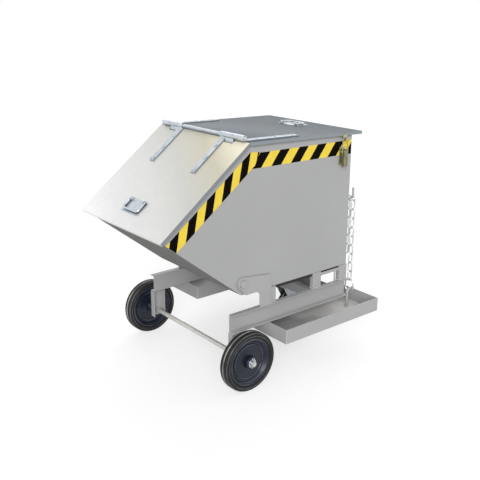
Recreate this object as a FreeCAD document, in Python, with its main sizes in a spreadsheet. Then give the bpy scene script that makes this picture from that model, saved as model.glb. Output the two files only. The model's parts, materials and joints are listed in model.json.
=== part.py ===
import FreeCAD, Part
import math
import os
import re
import Sketcher

# Tipping skip trolley: a sheet-metal tub that tips forward on a wheeled channel frame,
# under two galvanised lids that share one hinge rod across the ridge of the tub.
# Frame: origin on the ground under the middle of the trolley, -Y is the chute end,
# +X is the side with the latch and the chain, +Z is up. All lengths are millimetres.

SIDES = (("left", 1), ("right", -1))

DIMS = {
    # Front wheels and their axle
    "wheel_diameter": 250,
    "wheel_width": 50,
    "wheel_shoulder": 9,
    "wheel_track": 726,
    "wheel_hub_radius": 27,
    "wheel_hub_width": 56,
    "wheel_rim_radius": 99,
    "wheel_rim_width": 42,
    "wheel_web": 12,
    "axle_diameter": 20,
    "axle_y": -185,
    "axle_tail": 12,
    "spacer_wall": 4,
    "washer_radius": 18,
    "washer_wall": 3,
    "split_pin_diameter": 4,
    "split_pin_length": 44,
    "split_pin_rise": 4,
    "drill_overrun": 1,
    "running_gap": 0.05,
    "seat_gap": 0.3,
    # Channel frame: side rails, front legs, posts and the rear crossmember
    "rail_inner_x": 277,
    "rail_depth": 27,
    "rail_height": 79,
    "rail_wall": 4,
    "rail_bend": 3,
    "rail_bottom_z": 225,
    "rail_front_y": -211,
    "rail_rear_y": 451,
    "leg_width": 60,
    "leg_foot": 25,
    "post_depth": 20,
    "post_wall": 3,
    "front_post_y": -45,
    "front_post_width": 72,
    "middle_post_y": 242,
    "rear_post_width": 48,
    "tie_height": 14,
    "tie_depth": 12,
    "tie_drop": 8,
    "stay_rod_diameter": 7,
    "stay_rod_y": 384,
    "crossmember_width": 124,
    "crossmember_height": 40,
    # Bearing plates that carry the tub's pivot bolts
    "plate_wall": 6,
    "plate_gap": 2,
    "plate_leg_y": -63,
    "plate_leg_width": 60,
    "arm_radius": 26,
    "arm_drop": 52,
    "arm_rear_rise": 8,
    "arm_chamfer": 14,
    "arm_foot": 15,
    "arm_nose_angle": 20,
    "pivot_y": -153,
    "pivot_rise": 50,
    "pivot_diameter": 20,
    "pivot_head_flats": 30,
    "pivot_head_height": 9,
    "pivot_pad_size": 48,
    "pivot_pad_wall": 6,
    # Open trays under the rails
    "tray_inner_x": 205,
    "tray_outer_x": 410,
    "tray_front_y": -21,
    "tray_rear_y": 535,
    "tray_depth": 62,
    "tray_wall": 3,
    # Rear swivel caster
    "caster_diameter": 180,
    "caster_width": 45,
    "caster_shoulder": 8,
    "caster_y": 350,
    "caster_trail": 43,
    "caster_plate_length": 130,
    "caster_plate_width": 104,
    "caster_plate_wall": 6,
    "caster_race_radius": 37,
    "caster_race_height": 9,
    "caster_crown_wall": 7,
    "caster_crown_half": 31,
    "caster_fork_wall": 5,
    "caster_fork_gap": 3,
    "caster_eye_radius": 17,
    "caster_hub_radius": 22,
    "caster_rim_radius": 72,
    "caster_rim_width": 38,
    "caster_web": 12,
    "caster_axle_diameter": 14,
    "caster_axle_flats": 22,
    "kingpin_diameter": 16,
    "kingpin_head_flats": 25,
    # Tub of the skip
    "skip_width": 576,
    "skip_sheet": 3,
    "skip_floor_z": 374,
    "floor_front_y": -156,
    "skip_rear_y": 447,
    "lip_y": -530,
    "lip_z": 671,
    "ridge_y": -125,
    "ridge_z": 983,
    "rear_top_z": 966,
    "skip_bend": 8,
    "runner_width": 12,
    "runner_height": 13,
    "runner_inset": 22,
    "runner_front_y": -120,
    "runner_rear_y": 410,
    "ridge_bar_size": 30,
    "ridge_bar_wall": 3,
    "ridge_bar_gap": 2,
    # Lids, hinge straps and hinge rod
    "lid_width": 602,
    "lid_sheet": 2,
    "lid_gap": 0.4,
    "lid_nose": 3,
    "front_skirt": 14,
    "rear_skirt": 13,
    "rear_overhang": 50,
    "hinge_rise": 13,
    "hinge_edge": 6,
    "hinge_rod_diameter": 12,
    "hinge_x": 188,
    "hinge_rod_tail": 4,
    "hinge_eye_radius": 11,
    "hinge_bracket_wall": 50,
    "hinge_bracket_half": 7,
    "hinge_notch_side": 3,
    "front_notch": 26,
    "rear_notch": 18,
    "front_strap_offset": 43,
    "rear_strap_offset": 74,
    "strap_eye_gap": 1,
    "strap_width": 28,
    "strap_height": 6,
    "strap_dish": 2.5,
    "strap_bolt_flats": 12,
    "strap_bolt_height": 3,
    "front_strap_length": 200,
    "rear_strap_length": 280,
    # Folding handles on the lids
    "handle_plate_width": 122,
    "handle_plate_depth": 66,
    "handle_plate_wall": 2,
    "handle_span": 104,
    "handle_drop": 49,
    "handle_rod_diameter": 8,
    "handle_bend": 12,
    "handle_lug_width": 8,
    "handle_lug_radius": 7,
    "handle_axis_height": 8,
    "front_handle_reach": 395,
    "rear_handle_reach": 478,
    # Toggle latch on the left side
    "latch_y": 390,
    "latch_base_width": 34,
    "latch_base_height": 78,
    "latch_base_rise": 16,
    "latch_base_wall": 2.5,
    "latch_pivot_drop": 49.7,
    "latch_pivot_out": 5,
    "latch_pin_diameter": 5,
    "latch_ear_radius": 6,
    "latch_ear_wall": 2,
    "latch_ear_gap": 0.3,
    "latch_lever_width": 22,
    "latch_lever_length": 64,
    "latch_lever_depth": 12,
    "latch_lever_wall": 2,
    "latch_throw": 9,
    "latch_wire_diameter": 4,
    "latch_loop_width": 32,
    "latch_loop_bend": 5,
    "keeper_width": 24,
    "keeper_reach": 20,
    "keeper_wall": 2,
    "keeper_lip": 7,
    "keeper_height": 22,
    "keeper_shelf_drop": 26,
    # Safety chain, its hook on the tub and its lug in the left tray
    "hook_x": 279,
    "hook_z": 672,
    "hook_rod_diameter": 10,
    "hook_reach": 35,
    "hook_tip": 44,
    "hook_bend": 10,
    "chain_y": 471,
    "chain_wire": 6,
    "chain_inner_length": 42,
    "chain_inner_width": 14,
    "chain_gap": 0.8,
    "chain_strand_offset": 14,
    "chain_main_links": 9,
    "chain_tail_links": 6,
    "ring_wire": 8,
    "ring_inner_width": 38,
    "ring_drop": 50,
    "ring_slack": 3,
    "lug_rod_diameter": 14,
    "lug_peg_length": 38,
    "lug_bend": 12,
}

DERIVED = {
    "axle_z": "wheel_diameter / 2",
    "wheel_x": "wheel_track / 2",
    "axle_radius": "axle_diameter / 2",
    "hub_outer_x": "wheel_x + wheel_hub_width / 2",
    "hub_inner_x": "wheel_x - wheel_hub_width / 2",
    "washer_x": "hub_outer_x + seat_gap",
    "axle_end_x": "washer_x + washer_wall + axle_tail",
    "rail_outer_x": "rail_inner_x + rail_depth",
    "rail_top_z": "rail_bottom_z + rail_height",
    "skip_side_x": "skip_width / 2",
    "skip_inner_x": "skip_side_x - skip_sheet",
    "pivot_z": "skip_floor_z + pivot_rise",
    "arm_bottom_z": "pivot_z - arm_drop",
    "arm_rear_z": "pivot_z + arm_rear_rise",
    "plate_inner_x": "skip_side_x + plate_gap",
    "plate_outer_x": "plate_inner_x + plate_wall",
    "post_outer_x": "plate_inner_x",
    "post_top_z": "skip_floor_z - seat_gap",
    "tie_top_z": "post_top_z - tie_drop",
    "tie_bottom_z": "tie_top_z - tie_height",
    "rear_post_y": "rail_rear_y - rear_post_width",
    "tray_bottom_z": "rail_bottom_z - tray_depth",
    "caster_z": "caster_diameter / 2",
    "caster_axle_y": "caster_y + caster_trail",
    "caster_plate_z": "rail_bottom_z - caster_plate_wall",
    "caster_race_z": "caster_plate_z - caster_race_height",
    "crown_top_z": "caster_race_z - seat_gap",
    "crown_bottom_z": "crown_top_z - caster_crown_wall",
    "fork_inner_x": "caster_width / 2 + caster_fork_gap",
    "fork_outer_x": "fork_inner_x + caster_fork_wall",
    "chute_angle": "atan2(lip_z - skip_floor_z; floor_front_y - lip_y)",
    "front_angle": "atan2(ridge_z - lip_z; ridge_y - lip_y)",
    "rear_angle": "atan2(ridge_z - rear_top_z; skip_rear_y - ridge_y)",
    "mouth_cut": "skip_sheet / sin(chute_angle + front_angle)",
    "hinge_height": "hinge_rise + lid_sheet + lid_gap",
    "hinge_share": "hinge_height / (1 + cos(front_angle + rear_angle))",
    "hinge_y": "ridge_y + hinge_share * (sin(rear_angle) - sin(front_angle))",
    "hinge_z": "ridge_z + hinge_share * (cos(front_angle) + cos(rear_angle))",
    "ridge_bar_drop": "(hinge_height + hinge_bracket_half * sin(front_angle)) / cos(front_angle)"
                      " + ridge_bar_gap",
    "front_reach": "cos(front_angle) * (hinge_y - lip_y) + sin(front_angle) * (hinge_z - lip_z)",
    "rear_reach": "cos(rear_angle) * (skip_rear_y - hinge_y) + rear_overhang",
    "front_lid_length": "front_reach + lid_nose + lid_sheet",
    "front_mitre": "(front_skirt - lid_sheet) * tan(front_angle + rear_angle)",
    "handle_axis_z": "handle_axis_height - hinge_rise",
    "latch_pivot_x": "lid_width / 2 + latch_pivot_out",
    "keeper_z": "ridge_z - (latch_y - ridge_y) * tan(rear_angle) - keeper_shelf_drop",
    "latch_pivot_z": "keeper_z - latch_pivot_drop",
    "latch_base_top_z": "latch_pivot_z + latch_base_rise",
    "latch_base_bottom_z": "latch_base_top_z - latch_base_height",
    "latch_loop_bottom_z": "latch_pivot_z - latch_throw",
    "latch_loop_top_z": "keeper_z + keeper_wall + seat_gap + latch_wire_diameter / 2",
    "chain_x": "hook_x + chain_strand_offset",
    "chain_pitch": "chain_inner_length - chain_gap",
    "hook_link_z": "hook_z + hook_rod_diameter / 2 + seat_gap + chain_wire / 2",
    "strand_top_z": "hook_link_z - chain_inner_width + chain_gap",
    "ring_top_z": "strand_top_z - chain_main_links * chain_pitch + (ring_wire - chain_wire) / 2",
    "lug_z": "ring_top_z - ring_drop",
    "lug_y": "chain_y - lug_bend",
}

SHEET_OF = {alias: "Dims." for alias in DIMS}
SHEET_OF.update({alias: "Derived." for alias in DERIVED})

doc = FreeCAD.newDocument("TippingSkipTrolley")


def bind(expression):
    """Give each size in an expression the name of the sheet that holds it."""
    return re.sub(r"[A-Za-z_]\w*", lambda word: SHEET_OF.get(word.group(), "") + word.group(), expression)


def fill_sheet(name, cells):
    """Make a spreadsheet with one named cell per size."""
    sheet = doc.addObject("Spreadsheet::Sheet", name)
    for row, (alias, content) in enumerate(cells.items(), start=1):
        sheet.set(f"A{row}", alias)
        sheet.set(f"B{row}", content)
        sheet.setAlias(f"B{row}", alias)
    doc.recompute()
    return sheet


fill_sheet("Dims", {alias: str(size) for alias, size in DIMS.items()})
sizes = fill_sheet("Derived", {alias: "=" + bind(formula) for alias, formula in DERIVED.items()})


def number(expression):
    """The present value of an expression, in millimetres or degrees."""
    result = sizes.evalExpression(bind(expression))
    return float(getattr(result, "Value", result))


def point(x, y, z):
    return FreeCAD.Vector(number(x), number(y), number(z))


def new_body(label):
    body = doc.addObject("PartDesign::Body", label)
    body.Label = label
    return body


def new_sketch(body, plane, start):
    """A sketch on one of the body's own planes, moved along the plane's normal to start."""
    sketch = body.newObject("Sketcher::SketchObject", f"{body.Name}_sketch")
    origin_plane = [item for item in body.Origin.OriginFeatures if item.Role == f"{plane}_Plane"][0]
    sketch.AttachmentSupport = [(origin_plane, "")]
    sketch.MapMode = "FlatFace"
    sign = "-" if plane == "XZ" else ""
    sketch.setExpression("AttachmentOffset.Base.z", bind(f"{sign}({start})"))
    return sketch


def fix_point(sketch, geometry, end, x, y):
    """Hold one end of a sketched line at two bound distances from the origin."""
    for kind, expression in (("DistanceX", x), ("DistanceY", y)):
        rule = Sketcher.Constraint(kind, -1, 1, geometry, end, number(expression))
        index = sketch.addConstraint(rule)
        sketch.setExpression(f"Constraints[{index}]", bind(expression))


def draw_outline(sketch, corners):
    """A closed outline of straight lines through corners given as pairs of expressions."""
    spots = [FreeCAD.Vector(number(x), number(y), 0) for x, y in corners]
    first = sketch.GeometryCount
    count = len(spots)
    for index in range(count):
        sketch.addGeometry(Part.LineSegment(spots[index], spots[(index + 1) % count]), False)
    for index in range(count):
        following = first + (index + 1) % count
        sketch.addConstraint(Sketcher.Constraint("Coincident", first + index, 2, following, 1))
        fix_point(sketch, first + index, 1, *corners[index])


def draw_circle(sketch, x, y, radius):
    centre = FreeCAD.Vector(number(x), number(y), 0)
    circle = sketch.addGeometry(Part.Circle(centre, FreeCAD.Vector(0, 0, 1), number(radius)), False)
    fix_point(sketch, circle, 3, x, y)
    index = sketch.addConstraint(Sketcher.Constraint("Radius", circle, number(radius)))
    sketch.setExpression(f"Constraints[{index}]", bind(radius))


def pad(body, plane, start, length, corners=(), circles=()):
    """Pad an outline, with round holes in it, from start along +X, +Y or +Z."""
    sketch = new_sketch(body, plane, start)
    if corners:
        draw_outline(sketch, corners)
    for circle in circles:
        draw_circle(sketch, *circle)
    feature = body.newObject("PartDesign::Pad", f"{body.Name}_pad")
    feature.Profile = sketch
    feature.Reversed = plane == "XZ"
    feature.setExpression("Length", bind(length))
    doc.recompute()
    return feature


def pocket(body, plane, start, length, corners=(), circles=()):
    """Cut an outline or round holes from start along +X, +Y or +Z."""
    before = body.Shape.Volume
    sketch = new_sketch(body, plane, start)
    if corners:
        draw_outline(sketch, corners)
    for circle in circles:
        draw_circle(sketch, *circle)
    feature = body.newObject("PartDesign::Pocket", f"{body.Name}_pocket")
    feature.Profile = sketch
    feature.Reversed = plane != "XZ"
    feature.setExpression("Length", bind(length))
    doc.recompute()
    if body.Shape.Volume >= before:
        raise RuntimeError(f"{body.Label}: a cut removed nothing")
    return feature


def hexagon(x, y, flats):
    """The corners of a hexagon with its centre at a point."""
    reach = f"{flats} / 2 / cos(30 deg)"
    return [(f"{x} + {reach} * cos({60 * corner} deg)", f"{y} + {reach} * sin({60 * corner} deg)")
            for corner in range(6)]


def eye_plate(body, plane, start, length, corners, centre, radius, bore):
    """A plate with a round eye at one end: the plate, the disc of the eye, then the hole through both."""
    pad(body, plane, start, length, corners)
    pad(body, plane, start, length, circles=[(*centre, radius)])
    pocket(body, plane, start, length, circles=[(*centre, bore)])


def round_edges(body, plane, corners, radius):
    """Fillet the straight edges that stand on the named corners of a padded outline."""
    axes = {"XY": (0, 1), "YZ": (1, 2), "XZ": (0, 2)}[plane]
    spots = [(number(x), number(y)) for x, y in corners]
    base = body.Tip
    names = []
    for index, edge in enumerate(base.Shape.Edges, start=1):
        ends = [(vertex.Point[axes[0]], vertex.Point[axes[1]]) for vertex in edge.Vertexes]
        if len(ends) == 2 and any(max(math.dist(end, spot) for end in ends) < 0.01 for spot in spots):
            names.append(f"Edge{index}")
    fillet = body.newObject("PartDesign::Fillet", f"{body.Name}_fillet")
    fillet.Base = (base, names)
    fillet.setExpression("Radius", bind(radius))
    doc.recompute()


def revolve(body, corners):
    """Turn an outline about the X axis."""
    sketch = new_sketch(body, "XY", "0")
    draw_outline(sketch, corners)
    feature = body.newObject("PartDesign::Revolution", f"{body.Name}_turned")
    feature.Profile = sketch
    feature.ReferenceAxis = (sketch, ["H_Axis"])
    feature.Angle = 360
    doc.recompute()


def place(piece, x="0", y="0", z="0", tilt=None):
    """Set a piece down at a point, turned about the X axis by a bound angle."""
    for axis, expression in zip("xyz", (x, y, z)):
        piece.setExpression(f"Placement.Base.{axis}", bind(expression))
    if tilt:
        piece.Placement.Rotation = FreeCAD.Rotation(FreeCAD.Vector(1, 0, 0), number(tilt))
        piece.setExpression("Placement.Rotation.Angle", bind(tilt))


TURN_TO = {
    "x": FreeCAD.Rotation(FreeCAD.Vector(0, 1, 0), 90),
    "y": FreeCAD.Rotation(FreeCAD.Vector(1, 0, 0), -90),
    "z": FreeCAD.Rotation(),
}


def cylinder(label, direction, radius, length, x, y, z):
    """A round bar that starts at a point and runs along one axis."""
    bar = doc.addObject("Part::Cylinder", label)
    bar.Label = label
    bar.setExpression("Radius", bind(radius))
    bar.setExpression("Height", bind(length))
    bar.Placement.Rotation = TURN_TO[direction]
    place(bar, x, y, z)
    return bar


def drill(label, bar, tools):
    """Cut round tools out of a bar."""
    for index, tool in enumerate(tools):
        cut = doc.addObject("Part::Cut", label if index == len(tools) - 1 else f"{label}_step")
        cut.Base = bar
        cut.Tool = tool
        bar = cut
    bar.Label = label
    return bar


def group(label, pieces):
    """Several like pieces under one name, each still a solid of its own."""
    bundle = doc.addObject("Part::Compound", label)
    bundle.Label = label
    bundle.Links = pieces
    return bundle


BEND_STEPS = 4
ROD_FACETS = 10
LINK_FACETS = 6


def bent_path(points, bends):
    """A line of points in one plane, with each inner corner turned into short steps round a bend."""
    path = [points[0]]
    for before, corner, after, bend in zip(points, points[1:], points[2:], bends):
        inward = (before - corner).normalize()
        outward = (after - corner).normalize()
        half_angle = inward.getAngle(outward) / 2
        middle = corner + (inward + outward).normalize() * (bend / math.sin(half_angle))
        axis = inward.cross(outward)
        first = corner + inward * (bend / math.tan(half_angle)) - middle
        turn = math.degrees(math.pi - 2 * half_angle)
        for step in range(BEND_STEPS + 1):
            path.append(middle + FreeCAD.Rotation(axis, -turn * step / BEND_STEPS).multVec(first))
    return path + [points[-1]]


def rod_along(path, radius, facets, closed=False):
    """A rod with flat facets along points in one plane, mitred at each of them."""
    count = len(path)
    plane_normal = FreeCAD.Vector()
    for before, corner, after in zip(path, path[1:], path[2:]):
        plane_normal += (corner - before).cross(after - corner)
    plane_normal.normalize()
    rings = []
    for index, spot in enumerate(path):
        arriving = spot - path[index - 1]
        leaving = path[(index + 1) % count] - spot
        if not closed and index == 0:
            arriving = leaving
        if not closed and index == count - 1:
            leaving = arriving
        side_in = arriving.normalize().cross(plane_normal)
        side_out = leaving.normalize().cross(plane_normal)
        mitre = (side_in + side_out).normalize()
        mitre = mitre * (1 / mitre.dot(side_in))
        ring = []
        for facet in range(facets):
            turn = 2 * math.pi * (facet + 0.5) / facets
            ring.append(spot + plane_normal * (radius * math.cos(turn)) + mitre * (radius * math.sin(turn)))
        rings.append(ring)
    faces = []
    for index in range(count if closed else count - 1):
        ring, following = rings[index], rings[(index + 1) % count]
        for facet in range(facets):
            beside = (facet + 1) % facets
            corners = [ring[facet], ring[beside], following[beside], following[facet], ring[facet]]
            faces.append(Part.Face(Part.makePolygon(corners)))
    if not closed:
        faces += [Part.Face(Part.makePolygon(ring + ring[:1])) for ring in (rings[0], rings[-1])]
    rod = Part.makeSolid(Part.makeShell(faces))
    return rod if rod.Volume > 0 else rod.reversed()


def solid(label, shape):
    """A finished shape as a piece of its own."""
    piece = doc.addObject("Part::Feature", label)
    piece.Label = label
    piece.Shape = shape
    return piece


nodes = []


def keep(*pieces):
    """Mark finished pieces as parts of the trolley."""
    nodes.extend(pieces)


# Side rails: outward-opening channels with the web on the inner side.
for side, sign in SIDES:
    rail = new_body(f"rail_{side}")
    web_x = f"{sign} * rail_inner_x"
    inner_x = f"{sign} * (rail_inner_x + rail_wall)"
    tip_x = f"{sign} * rail_outer_x"
    pad(rail, "XZ", "rail_front_y", "rail_rear_y - rail_front_y", [
        (web_x, "rail_bottom_z"), (tip_x, "rail_bottom_z"), (tip_x, "rail_bottom_z + rail_wall"),
        (inner_x, "rail_bottom_z + rail_wall"), (inner_x, "rail_top_z - rail_wall"),
        (tip_x, "rail_top_z - rail_wall"), (tip_x, "rail_top_z"), (web_x, "rail_top_z")])
    round_edges(rail, "XZ", [(web_x, "rail_bottom_z"), (web_x, "rail_top_z")], "rail_bend")
    keep(rail)

# Front legs: inward-opening channels welded under the rails, drilled for the axle.
for side, sign in SIDES:
    leg = new_body(f"front_leg_{side}")
    tip_x = f"{sign} * rail_inner_x"
    outer_x = f"{sign} * rail_outer_x"
    inner_x = f"{sign} * (rail_outer_x - rail_wall)"
    front_y = "axle_y - leg_width / 2"
    rear_y = "axle_y + leg_width / 2"
    foot_z = "axle_z - leg_foot"
    pad(leg, "XY", foot_z, f"rail_bottom_z - ({foot_z})", [
        (tip_x, front_y), (outer_x, front_y), (outer_x, rear_y), (tip_x, rear_y),
        (tip_x, f"{rear_y} - rail_wall"), (inner_x, f"{rear_y} - rail_wall"),
        (inner_x, f"{front_y} + rail_wall"), (tip_x, f"{front_y} + rail_wall")])
    round_edges(leg, "XY", [(outer_x, front_y), (outer_x, rear_y)], "rail_bend")
    pocket(leg, "YZ", f"{sign} * (rail_outer_x - rail_wall / 2) - rail_wall", "2 * rail_wall",
           circles=[("axle_y", "axle_z", "axle_radius + running_gap")])
    keep(leg)

# Bearing plates: flat plates on the rails whose arms reach forward to the pivot.
for side, sign in SIDES:
    plate = new_body(f"bearing_plate_{side}")
    plate_x = "plate_inner_x" if sign > 0 else "-plate_outer_x"
    leg_rear = "plate_leg_y + plate_leg_width"
    rear_corner = (leg_rear, "arm_rear_z")
    nose_y = "pivot_y - arm_radius * cos(arm_nose_angle * 1 deg)"
    nose_z = "pivot_z - arm_radius * sin(arm_nose_angle * 1 deg)"
    eye_plate(plate, "YZ", plate_x, "plate_wall", [
        (nose_y, nose_z), ("pivot_y + arm_foot", "arm_bottom_z"),
        ("plate_leg_y - arm_chamfer", "arm_bottom_z"), ("plate_leg_y", "arm_bottom_z - arm_chamfer"),
        ("plate_leg_y", "rail_top_z"), (leg_rear, "rail_top_z"),
        rear_corner, ("pivot_y", "pivot_z + arm_radius")],
        ("pivot_y", "pivot_z"), "arm_radius", "pivot_diameter / 2 + running_gap")
    round_edges(plate, "YZ", [rear_corner], "arm_chamfer")
    keep(plate)

# Pivot bolts: hexagon heads outside the plates, shanks through the plate, the tub and its pad.
pivot_bolts = []
for side, sign in SIDES:
    bolt = new_body(f"pivot_bolt_{side}")
    shank_end = "skip_inner_x - pivot_pad_wall"
    shank_x = shank_end if sign > 0 else "-plate_outer_x"
    head_x = "plate_outer_x" if sign > 0 else "-plate_outer_x - pivot_head_height"
    pad(bolt, "YZ", head_x, "pivot_head_height", hexagon("pivot_y", "pivot_z", "pivot_head_flats"))
    pad(bolt, "YZ", shank_x, f"plate_outer_x - ({shank_end})",
        circles=[("pivot_y", "pivot_z", "pivot_diameter / 2")])
    pivot_bolts.append(bolt)
keep(group("pivot_bolts", pivot_bolts))


def hollow_post(label, sign, front_y, width, top_z):
    """A rectangular hollow post that stands on a rail."""
    post = new_body(label)
    outer = f"{sign} * post_outer_x"
    inner = f"{sign} * (post_outer_x - post_depth)"
    height = f"{top_z} - rail_top_z"
    pad(post, "XY", "rail_top_z", height, [
        (outer, front_y), (outer, f"{front_y} + {width}"), (inner, f"{front_y} + {width}"), (inner, front_y)])
    hole_outer = f"{sign} * (post_outer_x - post_wall)"
    hole_inner = f"{sign} * (post_outer_x - post_depth + post_wall)"
    hole_rear = f"{front_y} + {width} - post_wall"
    pocket(post, "XY", "rail_top_z", height, [
        (hole_outer, f"{front_y} + post_wall"), (hole_outer, hole_rear),
        (hole_inner, hole_rear), (hole_inner, f"{front_y} + post_wall")])
    return post


# Posts: hollow sections that stand on the rails, the tub rests on the middle and rear ones.
POSTS = (
    ("front_posts", "front_post_y", "front_post_width", "arm_bottom_z"),
    ("middle_posts", "middle_post_y", "rear_post_width", "post_top_z"),
    ("rear_posts", "rear_post_y", "rear_post_width", "post_top_z"),
)
for label, front_y, width, top_z in POSTS:
    keep(group(label, [hollow_post(f"{label}_{side}", sign, front_y, width, top_z) for side, sign in SIDES]))

# Rest ties: flat bars between the middle and rear posts, just under the tub.
rest_ties = []
for side, sign in SIDES:
    tie = new_body(f"rest_tie_{side}")
    outer_x = f"{sign} * (post_outer_x - post_wall)"
    inner_x = f"{sign} * (post_outer_x - post_wall - tie_depth)"
    tie_y = "middle_post_y + rear_post_width"
    pad(tie, "XZ", tie_y, f"rear_post_y - ({tie_y})", [
        (outer_x, "tie_bottom_z"), (inner_x, "tie_bottom_z"), (inner_x, "tie_top_z"), (outer_x, "tie_top_z")])
    rest_ties.append(tie)
keep(group("rest_ties", rest_ties))

# Stay rod: a thin upright between the left rail and its rest tie.
stay_x = "post_outer_x - post_wall - tie_depth / 2"
keep(cylinder("stay_rod", "z", "stay_rod_diameter / 2", "tie_bottom_z - rail_top_z", stay_x, "stay_rod_y",
              "rail_top_z"))

# Rear crossmember: an upward-opening channel between the rails that carries the caster.
crossmember = new_body("rear_crossmember")
cross_front = "caster_y - crossmember_width / 2"
cross_rear = "caster_y + crossmember_width / 2"
cross_top = "rail_bottom_z + crossmember_height"
cross_floor = "rail_bottom_z + rail_wall"
pad(crossmember, "YZ", "-rail_inner_x", "2 * rail_inner_x", [
    (cross_front, "rail_bottom_z"), (cross_rear, "rail_bottom_z"), (cross_rear, cross_top),
    (f"{cross_rear} - rail_wall", cross_top), (f"{cross_rear} - rail_wall", cross_floor),
    (f"{cross_front} + rail_wall", cross_floor), (f"{cross_front} + rail_wall", cross_top),
    (cross_front, cross_top)])
round_edges(crossmember, "YZ", [(cross_front, "rail_bottom_z"), (cross_rear, "rail_bottom_z")], "rail_bend")
kingpin_hole = ("0", "caster_y", "kingpin_head_flats")
pocket(crossmember, "XY", "rail_bottom_z", "rail_wall", circles=[kingpin_hole])
keep(crossmember)

# Trays: open sheet pans hung under the rails, one each side.
for side, sign in SIDES:
    tray = new_body(f"tray_{side}")
    inner_x = f"{sign} * tray_inner_x"
    outer_x = f"{sign} * tray_outer_x"
    pad(tray, "XY", "tray_bottom_z", "tray_depth", [
        (inner_x, "tray_front_y"), (outer_x, "tray_front_y"), (outer_x, "tray_rear_y"),
        (inner_x, "tray_rear_y")])
    hollow_inner = f"{sign} * (tray_inner_x + tray_wall)"
    hollow_outer = f"{sign} * (tray_outer_x - tray_wall)"
    pocket(tray, "XY", "tray_bottom_z + tray_wall", "tray_depth - tray_wall", [
        (hollow_inner, "tray_front_y + tray_wall"), (hollow_outer, "tray_front_y + tray_wall"),
        (hollow_outer, "tray_rear_y - tray_wall"), (hollow_inner, "tray_rear_y - tray_wall")])
    keep(tray)

# Front axle: one round bar through both legs, cross-drilled at its ends for the split pins.
pin_x = "washer_x + washer_wall + split_pin_diameter"
axle_bar = cylinder("axle_bar", "x", "axle_radius", "2 * axle_end_x", "-axle_end_x", "axle_y", "axle_z")
pin_holes = []
for side, sign in SIDES:
    pin_holes.append(cylinder(f"pin_hole_{side}", "z", "split_pin_diameter / 2 + running_gap",
                              "axle_diameter + 2 * drill_overrun", f"{sign} * ({pin_x})", "axle_y",
                              "axle_z - axle_radius - drill_overrun"))
keep(drill("front_axle", axle_bar, pin_holes))


def ring(label, outer_radius, inner_radius, length, x):
    """A round sleeve or washer on the front axle."""
    sleeve = new_body(label)
    pad(sleeve, "YZ", x, length,
        circles=[("axle_y", "axle_z", outer_radius), ("axle_y", "axle_z", inner_radius)])
    return sleeve


# Axle fittings: spacer tubes inside the wheels, washers and split pins outside them.
axle_spacers = []
axle_washers = []
split_pins = []
on_axle = "axle_radius + running_gap"
for side, sign in SIDES:
    spacer_length = "hub_inner_x - seat_gap - rail_outer_x"
    spacer_x = "rail_outer_x" if sign > 0 else "-hub_inner_x + seat_gap"
    axle_spacers.append(ring(f"axle_spacer_{side}", "axle_radius + spacer_wall", on_axle, spacer_length,
                             spacer_x))
    washer_start = "washer_x" if sign > 0 else "-washer_x - washer_wall"
    axle_washers.append(ring(f"axle_washer_{side}", "washer_radius", on_axle, "washer_wall", washer_start))
    split_pins.append(cylinder(f"split_pin_{side}", "z", "split_pin_diameter / 2", "split_pin_length",
                               f"{sign} * ({pin_x})", "axle_y",
                               "axle_z - split_pin_length / 2 + split_pin_rise"))
keep(group("axle_spacers", axle_spacers), group("axle_washers", axle_washers),
     group("split_pins", split_pins))


def wheel_parts(prefix, x, y, z, radius, width, shoulder, rim_radius, rim_width, web, hub_radius, hub_width,
                bore):
    """A rubber tyre and a dished plastic wheel centre, turned about the X axis."""
    half = f"{width} / 2"
    tyre = new_body(f"{prefix}_tyre")
    revolve(tyre, [
        (f"-{half}", rim_radius), (half, rim_radius), (half, f"{radius} - {shoulder}"),
        (f"{half} - {shoulder}", radius), (f"{shoulder} - {half}", radius),
        (f"-{half}", f"{radius} - {shoulder}")])
    centre = new_body(f"{prefix}_wheel_centre")
    rim_inner = f"{rim_radius} - {web} / 2"
    one_side = [(f"({hub_width}) / 2", bore), (f"({hub_width}) / 2", hub_radius), (f"{web} / 2", hub_radius),
                (f"{web} / 2", rim_inner), (f"{rim_width} / 2", rim_inner), (f"{rim_width} / 2", rim_radius)]
    other_side = [(f"-{axial}", radial) for axial, radial in reversed(one_side)]
    revolve(centre, one_side + other_side)
    for piece in (tyre, centre):
        place(piece, x, y, z)
    keep(tyre, centre)


# Front wheels: solid rubber tyres on plastic centres that run on the axle.
for side, sign in SIDES:
    wheel_parts(f"front_{side}", f"{sign} * wheel_x", "axle_y", "axle_z", "wheel_diameter / 2", "wheel_width",
                "wheel_shoulder", "wheel_rim_radius", "wheel_rim_width", "wheel_web", "wheel_hub_radius",
                "wheel_hub_width", "axle_radius + running_gap")

# Caster top plate: a flat plate with the ball race under it, welded to the crossmember.
caster_plate = new_body("caster_plate")
plate_half_x = "caster_plate_length / 2"
plate_half_y = "caster_plate_width / 2"
plate_front = f"caster_y - {plate_half_y}"
plate_rear = f"caster_y + {plate_half_y}"
plate_corners = [(f"-{plate_half_x}", plate_front), (plate_half_x, plate_front), (plate_half_x, plate_rear),
                 (f"-{plate_half_x}", plate_rear)]
kingpin_bore = ("0", "caster_y", "kingpin_diameter / 2 + running_gap")
pad(caster_plate, "XY", "caster_plate_z", "caster_plate_wall", plate_corners, [kingpin_bore])
pad(caster_plate, "XY", "caster_race_z", "caster_race_height",
    circles=[("0", "caster_y", "caster_race_radius"), kingpin_bore])
keep(caster_plate)

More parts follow.
